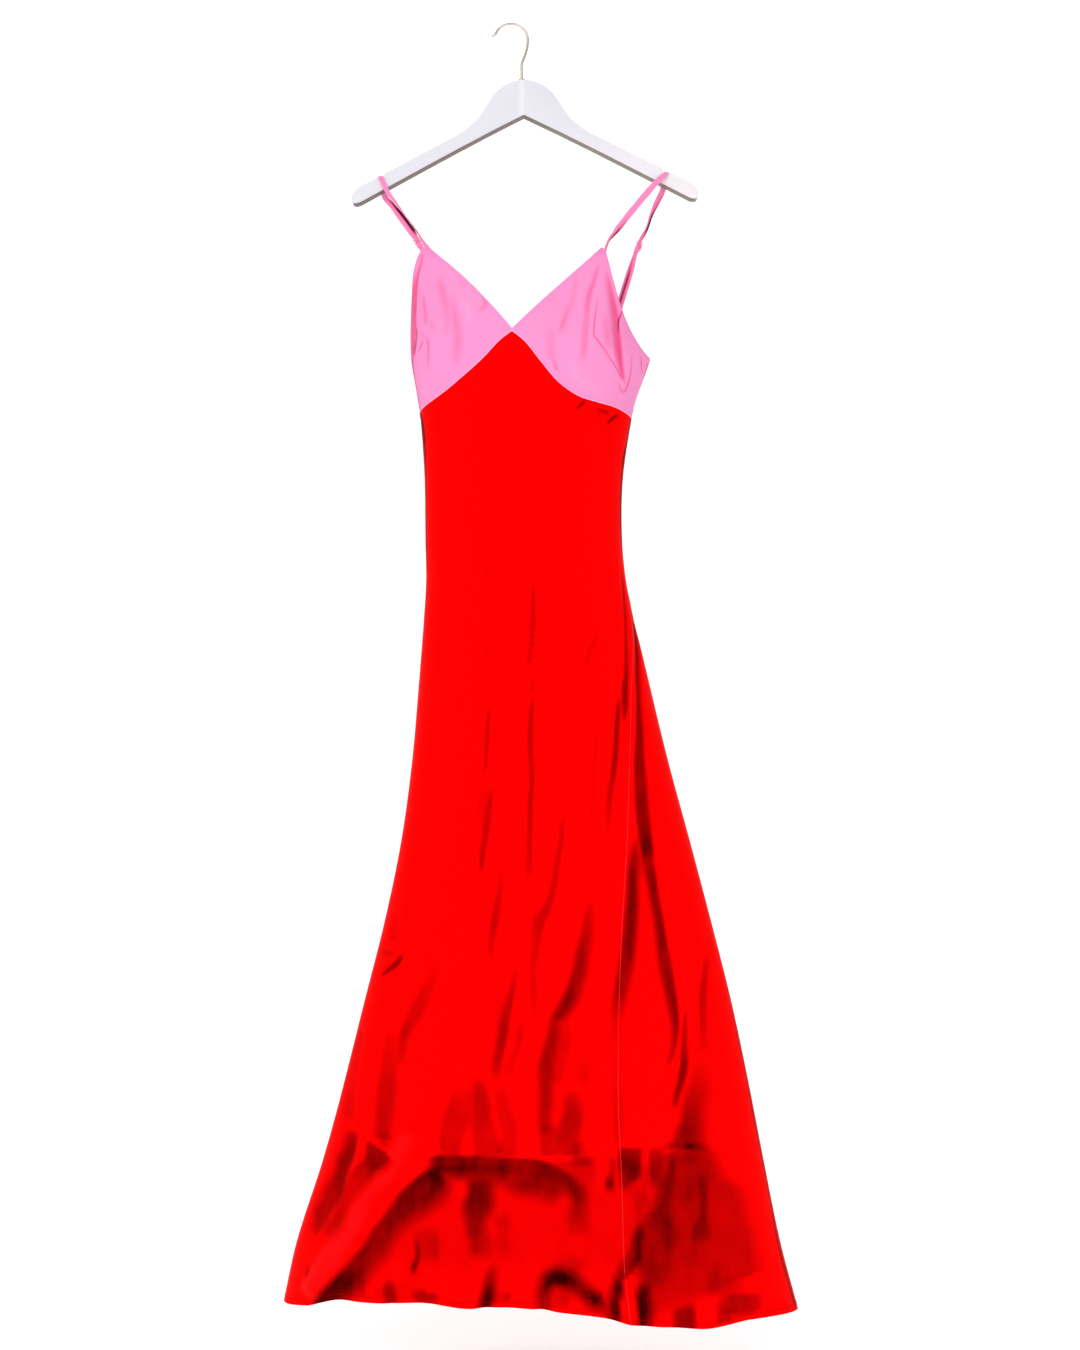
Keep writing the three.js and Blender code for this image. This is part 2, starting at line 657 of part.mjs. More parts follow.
function hangerBodyGeometry() {
  const { thick, bevel, centre } = HANGER;
  const blank = new THREE.ExtrudeGeometry(hangerOutline(), {
    depth: thick - 2 * bevel, bevelThickness: bevel, bevelSize: bevel, bevelOffset: -bevel,
    bevelSegments: 2,
  });
  blank.translate(0, 0, bevel - thick / 2).rotateX(Math.PI / 2).translate(centre, 0, 0);
  let body = solidOf(blank);
  const cutterHeight = 5 * NOTCH.depth;
  for (const hand of [1, -1]) {
    const cutter = new THREE.BoxGeometry(NOTCH.width, 2 * thick, cutterHeight);
    cutter.translate(centre + hand * NOTCH.from, 0, notchFloor + cutterHeight / 2);
    body = body.subtract(solidOf(cutter));
  }
  const hole = new THREE.CylinderGeometry(HOOK_HOLE, HOOK_HOLE, 2 * HOOK.buried + 2, 16);
  hole.rotateX(Math.PI / 2).translate(centre + HOOK.stemX, 0, HUMP_TOP);
  return geometryOf(body.subtract(solidOf(hole)));
}

// The hook's wire: an arc over the rail, then a knee back to a straight stem in the wood.
function hookRoute() {
  const { wire, bend, knee, stemX, stemTop, buried } = HOOK;
  const places = [];
  for (let degrees = HOOK_ARC.from; degrees >= HOOK_ARC.to; degrees -= HOOK_ARC.step) {
    const turned = degToRad(degrees);
    places.push([bend * Math.cos(turned), wire - bend + bend * Math.sin(turned)]);
  }
  places.push(knee);
  for (const z of [stemTop, (stemTop + HUMP_TOP) / 2, HUMP_TOP, HUMP_TOP - buried])
    places.push([HANGER.centre + stemX, z]);
  const points = places.map(([x, z]) => new THREE.Vector3(x, 0, z));
  return new THREE.CatmullRomCurve3(points, false, "centripetal");
}

function hookGeometry() {
  const section = new THREE.Shape().absarc(0, 0, HOOK.wire, 0, 2 * Math.PI);
  return new THREE.ExtrudeGeometry(section, {
    steps: HOOK_STEPS, extrudePath: hookRoute(), curveSegments: HOOK_SIDES / 2,
  });
}

function collarGeometry() {
  const { radius, high, chamfer } = COLLAR;
  const corners = [
    [HOOK_HOLE, 0], [radius, 0], [radius, high - chamfer], [radius - chamfer, high],
    [HOOK_HOLE, high], [HOOK_HOLE, 0],
  ];
  const collar = new THREE.LatheGeometry(corners.map((pair) => new THREE.Vector2(...pair)), 20);
  return collar.rotateX(Math.PI / 2).translate(HANGER.centre + HOOK.stemX, 0, HUMP_TOP + SEAM_GAP);
}

for (const [name, geometry, finish] of [
  ["hanger_body", hangerBodyGeometry(), "paintedWood"],
  ["hanger_hook", hookGeometry(), "wire"],
  ["hook_collar", collarGeometry(), "wire"],
])
  addNode(name, geometry, finish).rotation.y = TILT;

export default group;
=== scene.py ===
"""A slip dress that hangs by its straps from a painted wooden clothes hanger.

Sizes are millimetres until a mesh is made, and meshes are metres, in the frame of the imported
model: +X to the right of the front, +Z up, the front faces -Y, and the origin is the inner top
of the hanger's hook.
"""

import logging
import math
from dataclasses import dataclass, field
from enum import Enum
from typing import Any, Callable, Iterable, Sequence

import bmesh
import bpy
import numpy as np
from mathutils import Matrix, Vector

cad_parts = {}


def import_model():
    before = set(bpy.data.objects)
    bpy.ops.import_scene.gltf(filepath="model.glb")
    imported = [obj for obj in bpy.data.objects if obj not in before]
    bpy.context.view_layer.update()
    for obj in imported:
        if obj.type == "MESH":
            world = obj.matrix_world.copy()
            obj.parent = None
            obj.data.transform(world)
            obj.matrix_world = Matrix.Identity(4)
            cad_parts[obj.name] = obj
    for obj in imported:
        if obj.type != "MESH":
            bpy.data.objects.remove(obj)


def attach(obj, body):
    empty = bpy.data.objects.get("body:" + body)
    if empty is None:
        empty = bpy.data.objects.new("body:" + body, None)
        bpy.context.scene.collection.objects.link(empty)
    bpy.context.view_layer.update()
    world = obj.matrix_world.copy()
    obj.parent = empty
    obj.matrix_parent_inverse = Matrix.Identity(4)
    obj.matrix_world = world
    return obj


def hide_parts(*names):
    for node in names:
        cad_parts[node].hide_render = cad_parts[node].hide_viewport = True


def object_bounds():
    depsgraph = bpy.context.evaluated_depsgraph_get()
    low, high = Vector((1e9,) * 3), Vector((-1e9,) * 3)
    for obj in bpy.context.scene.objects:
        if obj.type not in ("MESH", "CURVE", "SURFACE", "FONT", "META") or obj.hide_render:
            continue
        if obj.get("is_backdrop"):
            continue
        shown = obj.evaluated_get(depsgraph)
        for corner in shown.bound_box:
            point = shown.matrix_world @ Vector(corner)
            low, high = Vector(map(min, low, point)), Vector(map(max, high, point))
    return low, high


log = logging.getLogger("slip_dress")

MM = 0.001
ROOT = "root"
SMOOTH_ANGLE = math.radians(50)
BIAS = 45.0  # degrees between a satin's threads and the way it hangs

Array = np.ndarray
Place = tuple[float, float]


# ---- Numbers and curves ----


def ease(value: Array) -> Array:
    """A smooth step from 0 to 1 while value goes from 0 to 1."""
    t = np.clip(value, 0.0, 1.0)
    return t * t * (3.0 - 2.0 * t)


def rows_of(text: str) -> Array:
    """Rows of numbers, written with commas between the rows."""
    return np.array([row.split() for row in text.split(",")], float)


def distances(line: Array) -> Array:
    """How far along a line of places each one is."""
    return np.concatenate([[0.0], np.cumsum(np.linalg.norm(np.diff(line, axis=0), axis=1))])


def curve_through(points: Sequence[Sequence[float]], steps: int) -> Array:
    """A smooth curve through points.

    Args:
        points: the places that it passes, each with the same number of axes.
        steps: how many pieces each span is cut into.

    Returns:
        The places along the curve, the first and the last point among them.
    """
    knots = np.asarray(points, float)
    if len(knots) < 3:
        share = np.linspace(0.0, 1.0, steps + 1)[:, None]
        return knots[0] * (1 - share) + knots[-1] * share
    padded = np.vstack([2 * knots[0] - knots[1], knots, 2 * knots[-1] - knots[-2]])
    places = [knots[:1]]
    t = (np.arange(1, steps + 1) / steps)[:, None]
    for a, b, c, d in zip(padded, padded[1:], padded[2:], padded[3:]):
        bend = 2 * b + (c - a) * t + (2 * a - 5 * b + 4 * c - d) * t**2
        places.append((bend + (3 * b - a - 3 * c + d) * t**3) / 2)
    return np.vstack(places)


class Profile:
    """Sizes in rows against a key, each read on a smooth curve through its rows."""

    def __init__(self, columns: str, rows: str) -> None:
        """Takes the sizes.

        Args:
            columns: their names, of which the first is the key.
            rows: the rows in any order, with commas between them.
        """
        table = rows_of(rows)
        table = table[table[:, 0].argsort()]
        self.keys = table[:, 0]
        self.sizes = dict(zip(columns.split(), table.T))

    def at(self, column: str, place: Any) -> Array:
        """The size in a column.

        Args:
            column: the column's name.
            place: the key, at one place or at many.

        Returns:
            The size there, on a smooth curve through the rows.
        """
        keys, sizes = self.keys, self.sizes[column]
        place = np.asarray(place, float)
        low = np.clip(np.searchsorted(keys, place, side="right") - 1, 0, len(keys) - 2)
        before = np.maximum(np.arange(len(keys)) - 1, 0)
        after = np.minimum(np.arange(len(keys)) + 1, len(keys) - 1)
        slopes = (sizes[after] - sizes[before]) / (keys[after] - keys[before])
        span = keys[low + 1] - keys[low]
        t = np.clip((place - keys[low]) / span, 0.0, 1.0)
        level = sizes[low] + (sizes[low + 1] - sizes[low]) * ease(t)
        return level + span * t * (1 - t) * ((1 - t) * slopes[low] - t * slopes[low + 1])


# ---- The form that the cloth hangs in ----


class Panel(Enum):
    """The two halves of the skirt and the lining, as the turn at which each one starts."""

    FRONT = 0
    BACK = 180


class Side(Enum):
    """The two sides of the dress, as the way along X."""

    RIGHT = 1
    LEFT = -1

    @property
    def word(self) -> str:
        """The side's name at the end of a piece's name."""
        return self.name.lower()


CENTRE_FRONT = 98.7  # degrees round the section at the bust
BODICE_TURN = 8.0  # degrees that the bodice's side seams have turned
FRONT_MIDDLE = (CENTRE_FRONT - BODICE_TURN) / 180  # share of the front to the right of it
SEAM_GAP = 0.3
SIDE_SEAM = 0.06

SECTIONS = Profile(
    "z centre half front back turn",
    "-284 22 157 62 40 8, -355 26 156 76 46 8, -406 27 155 86 50 8, -432 26 153 86 52 8, "
    "-483 21 140 76 56 8, -509 20 135 70 58 8, -586 17 127 65 60 6.5, -663 17 126 64 60 5, "
    "-715 20 128 65 61 6, -766 24 135 67 63 15, -843 30 147 70 66 33, -946 38 164 72 68 47, "
    "-1049 45 185 74 70 57, -1151 48 209 76 72 64, -1254 48 235 78 74 68, -1357 46 259 80 75 70, "
    "-1460 42 283 82 76 70, -1563 36 310 84 77 70, -1650 38 331 86 78 70",
)
LINING_SECTIONS = Profile(
    "z centre half front back",
    "-413 26 150 76 46, -509 19 130 58 48, -663 15 117 48 46, -843 18 124 50 48, -1049 20 150 52 50, "
    "-1254 18 176 55 52, -1435 14 197 58 54",
)
# The seam under the bust: its height by the angle from the centre front.
UNDERBUST = Profile(
    "angle right left",
    "0 -413 -413, 6 -426 -425, 14 -449 -445, 24 -473 -463, 36 -489 -479, 48 -495 -489, 62 -499 -496, "
    "76 -504 -501, 90 -508 -508",
)
HEM = Profile(
    "angle z",
    "0 -1649, 37 -1643, 51 -1648, 60 -1643, 69 -1639, 76 -1628, 86 -1620, 97 -1614, 106 -1617, 116 -1612, "
    "127 -1616, 140 -1619, 152 -1630, 175 -1638, 215 -1634, 270 -1630, 320 -1638, 360 -1649",
)
HEM_LEVEL = -1649.0  # where the panels' shares of the hem are read
BACK_SEAM_DIP = 6.0
BACK_TOP_SIDE = -432.0
BACK_TOP_CENTRE = -446.0
LINING_HEM = -1429.0
LINING_RELEASE = 0.12  # share of the lining's length over which it leaves the skirt


def section_place(sections: Profile, angle: Any, z: Any, out: Any = 0.0) -> Array:
    """Places on the level sections of a form.

    Args:
        sections: the form.
        angle: degrees round a section, from the right over the front to the left.
        z: the height.
        out: how far the place is moved out along the section's own normal.

    Returns:
        The places, with X, Y and Z on the last axis.
    """
    angle, z, out = np.broadcast_arrays(np.asarray(angle, float), z, out)
    turned = np.radians(angle)
    half = sections.at("half", z)
    depth = np.where(np.sin(turned) > 0, sections.at("front", z), sections.at("back", z))
    across, forward = np.cos(turned) / half, np.sin(turned) / depth
    size = np.hypot(across, forward)
    x = sections.at("centre", z) + half * np.cos(turned) + out * across / size
    return np.stack([x, -depth * np.sin(turned) - out * forward / size, z + 0.0 * x], axis=-1)


def panel_angle(panel: Panel, share: Any, z: Any) -> Array:
    """Where a panel lies round the section.

    Args:
        panel: the panel.
        share: a share of its width, from its right edge.
        z: the height.

    Returns:
        Degrees round the section, with half of the side seam left free at either edge.
    """
    turn = SECTIONS.at("turn", z)
    turned = np.radians(turn)
    reach = np.hypot(SECTIONS.at("half", z) * np.sin(turned), SECTIONS.at("back", z) * np.cos(turned))
    seam = np.degrees(SIDE_SEAM / 2 / reach)
    inset = seam * (np.equal(share, 0.0) * 1.0 - np.equal(share, 1.0) * 1.0)
    return turn + panel.value + np.asarray(share) * 180.0 + inset


def waist_height(panel: Panel, share: Array) -> Array:
    """The height of the seam between bodice and skirt.

    Args:
        panel: the skirt's panel below it.
        share: a share of that panel's width, from its right edge.

    Returns:
        The height there.
    """
    if panel is Panel.BACK:
        return UNDERBUST.at("right", 90.0) - BACK_SEAM_DIP * np.sin(np.pi * share)
    right = UNDERBUST.at("right", 90.0 * (1 - share / FRONT_MIDDLE))
    left = UNDERBUST.at("left", 90.0 * (share - FRONT_MIDDLE) / (1 - FRONT_MIDDLE))
    return np.where(share < FRONT_MIDDLE, right, left)


# ---- Creases ----


def pair(value: float | Place) -> Place:
    """Two numbers as they are, or one number twice."""
    return value if isinstance(value, tuple) else (value, value)


class Fold:
    """A soft trough or ridge of the cloth, along a route of places on its face.

    Each place of the route is across, how far below the hook, half the fold's width there, and
    the shade painted into the cloth's colour there in percent, or less than nothing for a painted
    highlight on a ridge.
    """

    STEPS = 4

    def __init__(self, rise: float, soft: float | Place, route: str, ends: float | Place = 16) -> None:
        """Takes what the fold does and its route.

        Args:
            rise: how far it stands out of the cloth, or less than nothing in a trough.
            soft: over how many millimetres it dies away to the right and to the left of its way.
            route: its places, from one end to the other, with commas between them.
            ends: over how many millimetres it begins and ends.
        """
        self.rise = rise
        self.soft = pair(soft)
        self.ends = pair(ends)
        across, below, width, percent = rows_of(route).T
        self.line = curve_through(np.stack([across, -below, width, percent / 100], axis=-1), self.STEPS)

    def felt(self, x: Array, z: Array) -> tuple[Array, Array]:
        """How strongly the fold is felt.

        Args:
            x: places of the cloth, across.
            z: their heights.

        Returns:
            How strongly it is felt there, from 0 to 1, and the shade painted there.
        """
        reach = self.line[:, 2].max() + max(self.soft)
        low, high = self.line[:, :2].min(0) - reach, self.line[:, :2].max(0) + reach
        near = (x > low[0]) & (x < high[0]) & (z > low[1]) & (z < high[1])
        strength, dark = np.zeros_like(x), np.zeros_like(x)
        if near.any():
            strength[near], dark[near] = self._felt_near(x[near], z[near])
        return strength, dark

    def _felt_near(self, x: Array, z: Array) -> tuple[Array, Array]:
        """The same as felt, for places close to the route.

        Args:
            x: the places, across.
            z: their heights.

        Returns:
            How strongly the fold is felt there, and how dark it is there.
        """
        spans = np.diff(self.line, axis=0)
        lengths = np.hypot(spans[:, 0], spans[:, 1])
        starts = np.concatenate([[0.0], np.cumsum(lengths)])
        best = np.full(x.shape, np.inf)
        kept = np.zeros((4, *x.shape))
        for place, span, length, start in zip(self.line, spans, lengths, starts):
            t = np.clip(((x - place[0]) * span[0] + (z - place[1]) * span[1]) / length**2, 0.0, 1.0)
            gap_x, gap_z = x - place[0] - t * span[0], z - place[1] - t * span[1]
            gap = np.hypot(gap_x, gap_z)
            side = span[0] * gap_z - span[1] * gap_x
            found = np.stack([start + t * length, place[2] + t * span[2], place[3] + t * span[3], side])
            kept = np.where(gap < best, found, kept)
            best = np.minimum(best, gap)
        along, width, dark, side = kept
        soft = np.where(side > 0, self.soft[1], self.soft[0])
        begins, ends = along / self.ends[0], (starts[-1] - along) / self.ends[1]
        return ease(begins) * ease(ends) * ease(0.5 - (best - width) / soft), dark


@dataclass(frozen=True)
class Drape:
    """The folds of one face of the dress, with the shade that they paint."""

    folds: tuple[Fold, ...]

    def relief(self, x: Array, z: Array) -> tuple[Array, Array]:
        """What all the folds do together.

        Args:
            x: places of the cloth, across.
            z: their heights.

        Returns:
            The cloth's rise out of its form, and its painted lightness from 0 to 1 under the folds' painted
            shade and highlights.
        """
        rise, light = np.zeros_like(x), np.ones_like(x)
        for fold in self.folds:
            felt, dark = fold.felt(x, z)
            rise += fold.rise * felt
            light *= 1.0 - dark * felt
        return softened(rise, 2), light


def softened(grid: Array, passes: int) -> Array:
    """Eases sharp changes.

    Args:
        grid: the values.
        passes: how many times each one is mixed with its neighbours.

    Returns:
        The eased grid.
    """
    for _ in range(passes):
        for axis in (0, 1):
            wide = np.pad(grid, [(1, 1) if axis == a else (0, 0) for a in (0, 1)], mode="edge")
            low, high = np.delete(wide, [-1, -2], axis), np.delete(wide, [0, 1], axis)
            grid = grid / 2 + (low + high) / 4
    return grid


# The last number of each place of a fold is the shade painted into the cloth's colour, in percent; below
# nothing it is a painted highlight.
UPPER_FOLDS = (
    # Narrow creases down the middle.
    Fold(-0.8, 5, "30 712 2.4 13, 29 750 3.2 18, 28 790 3.4 20, 25 815 3 22, 24 834 2.4 18"),
    Fold(-0.4, 4, "28.6 838 2.4 16, 28.6 860 2.6 22", ends=6),
    Fold(-0.4, 4, "-26 776 1.4 10, -28 800 2 13, -25 824 1.6 10"),
    Fold(-1.4, (5, 4), "30 856 2 16, 27 886 3.2 26, 26 930 3.4 28, 28 962 3 26, 26 1000 3.2 26, "
         "25 1045 4 19, 24 1098 5 8"),
    Fold(-0.8, 5, "-24 866 2.4 12, -27 900 3 22, -29 935 3 22, -31 966 2.6 14"),
    Fold(-0.8, (7, 6), "-32 960 6 6, -33 1000 7 9, -34 1040 5 5"),
    Fold(-1.6, (6, 5), "-21 970 2.4 14, -25 1000 4 20, -28 1024 4.4 21, -32 1048 3.6 24, -34 1064 3.4 26, "
         "-36 1092 2.4 10"),
    Fold(-1.8, (5, 6), "-10 1066 3 7, -10 1090 3.6 12, -14 1116 4.6 20, -18 1140 5.4 24, -22 1162 4 21, "
         "-24 1196 2.6 12"),
    Fold(-2, (8, 5), "66 1002 3 10, 64 1042 3.6 17, 59 1068 4 20, 56 1092 4.4 22, 48 1122 5.6 22, "
         "36 1142 8 19, 33 1168 6 17, 29 1196 5 15, 30 1232 5 12, 32 1268 4 6"),
    Fold(-0.6, 4, "109 896 2 9, 105 950 2 10, 102 1000 2.4 9, 99 1044 2 6"),
    Fold(-0.4, 4, "111 778 2 8, 104 797 3 10, 97 815 4 10, 89 834 5 6"),
    Fold(-0.3, 3, "-30 696 2.4 12, -29 720 2 12", ends=6),
    # Beside the side seam.
    Fold(-1, 2.4, "142 706 1.2 18, 145 750 1.6 25, 146.6 790 2 29, 146.6 834 3 33, 144.6 852 4 42, "
         "144.6 876 3.6 40, 144 894 2 26", ends=(10, 6)),
    Fold(-1.6, 4, "137 864 2.4 30, 135 890 3 34, 133 925 3.4 33, 130 956 3.6 32, 124 992 3.8 20, "
         "122 1044 3 6", ends=(10, 20)),
    Fold(-3, 5, "155 744 1.2 42, 161 790 2.2 46, 162 832 2.8 46, 163.4 872 3.4 46, 164 910 5 43, "
         "163.4 945 6.6 42, 165 980 8.2 38, 167 1010 8.8 39, 171 1044 8 46, 176 1076 6.6 49",
         ends=(26, 24)),
    Fold(-3, (12, 4), "170 1048 6 40, 176 1080 6.4 48, 181 1112 6.2 46, 186 1142 6.4 43, 190 1170 7 40, "
         "195 1200 8 39, 202 1238 7 40, 206 1262 5.6 41, 207 1282 4.4 42, 203 1306 3 32, 196 1326 3 12",
         ends=(40, 10)),
    Fold(-0.8, 6, "163 1050 6 10, 167 1096 5 8"),
    Fold(-3, (11, 13), "160 1034 3 20, 156 1058 4.6 36, 154 1082 6.4 45, 153 1112 7 52, 151 1142 8 52, "
         "148 1172 8.4 48, 144 1200 9 44, 140 1222 9 35, 136 1242 9 25, 133 1266 8 12, 132 1290 7 5"),
    Fold(-0.5, 4, "137 1054 2.6 7, 136 1100 2.6 7"),
)

MIDDLE_FOLDS = (
    # The deeper folds under the hip.
    Fold(-4, (12, 18), "104 1104 3 8, 98 1138 6.6 21, 95 1160 8 30, 90 1182 8 40, 87 1202 8.4 48, "
         "81 1222 9 49, 73 1240 9 47, 64 1254 8 42, 58 1268 7 40", ends=(20, 12)),
    Fold(-4, 12, "57 1246 4 14, 55 1266 6 30, 53 1284 7 40, 49 1302 8 40, 45 1322 9 37, 45 1345 8 35, "
         "45 1364 7.4 32, 44 1386 7 26, 46 1408 8 18"),
    Fold(-1, (10, 13), "70 1258 9 10, 67 1290 9 16, 61 1320 9 16, 57 1348 5 10"),
    Fold(-2.4, (11, 7), "9 1192 3 8, 5 1218 4 22, 0 1240 4.4 32, -4 1258 5.4 35, -8 1280 6.4 36, "
         "-12 1300 6 32, -16 1320 6 23, -18 1342 5 10"),
    Fold(-0.6, 8, "-11 1218 5 6, -13 1250 6 10, -15 1282 5 8"),
    Fold(-0.6, 6, "15 1256 3 10, 13 1280 4.4 17, 9 1300 4.4 14, 0 1322 6 10, -4 1340 6 5"),
    Fold(-2.4, (9, 13), "-90 1180 5 5, -93 1202 7 8, -98 1218 7 12, -104 1231 8 15, -110 1243 9 18, "
         "-117 1257 10 18, -124 1270 8 20, -131 1284 6 25, -134 1302 5.4 17, -136 1330 7 10"),
    Fold(-1.2, 3, "-134 1187 2 30, -142 1199 3.6 40, -152 1208 3 40, -165 1219 1.4 34", ends=(6, 8)),
    Fold(-0.5, 4, "-166 1188 3 10, -146 1189 4 20", ends=6),
    Fold(-0.5, 7, "-145 1128 5 5, -148 1184 6 9"),
    Fold(-2, (10, 17), "-147 1272 8 6, -150 1304 9 11, -152 1332 11 15, -154 1354 12 22, -156 1376 12 23, "
         "-158 1398 11 23, -159 1418 12 22", ends=(18, 4)),
    Fold(-0.8, 8, "-187 1280 4 7, -194 1312 5 9, -200 1346 7 6, -204 1380 8 10, -206 1408 8 12"),
    Fold(-1.4, 5, "248 1186 3 12, 247 1207 4 20, 243 1240 5 22, 243 1280 5 14, 244 1316 6 6"),
    Fold(-0.4, 6, "92 1300 6 5, 92 1322 8 8, 89 1348 8 8"),
    Fold(-0.4, 7, "129 1268 7 6, 131 1302 7 6, 133 1340 7 9, 135 1368 7 12, 135 1400 7 12, 132 1424 6 8"),
    # Over the lining's lower edge.
    Fold(-0.6, (6, 12), "-60 1342 11 6, -60 1362 13 10, -65 1384 16 13, -71 1404 15 15, -74 1430 12 22",
         ends=(14, 3)),
    Fold(-1, (11, 8), "-41 1326 6 8, -37 1350 9 18, -34 1373 11 19, -32 1400 14 17, -26 1432 18 20",
         ends=(18, 3)),
    Fold(-0.4, (8, 9), "-12 1340 6 7, -8 1370 8 10, 0 1400 10 12, -4 1430 12 18", ends=(12, 3)),
    Fold(-1, (10, 13), "72 1346 6 8, 77 1360 9 17, 78 1380 12 23, 74 1402 14 23, 76 1430 12 20",
         ends=(10, 3)),
    Fold(-0.6, 8, "47 1384 8 12, 50 1406 12 19, 50 1430 11 20", ends=(14, 3)),
    Fold(-0.3, (8, 13), "83 1408 6 10, 88 1430 9 22", ends=(8, 4)),
    # The long fold that runs down to the right, its bright edge and the shade behind it.
    Fold(-1.4, 5, "220 1252 1.4 14, 219 1280 3 30, 218 1300 4 37, 218 1322 5 42, 214 1342 5 38, "
         "208 1360 4 34, 204 1378 4 22", ends=10),
    Fold(-1.6, (16, 30), "236 1312 9 6, 238 1340 13 12, 235 1358 15 21, 231 1374 15 28, 228 1392 15 38, "
         "224 1410 18 42, 220 1430 24 40", ends=(16, 6)),
)

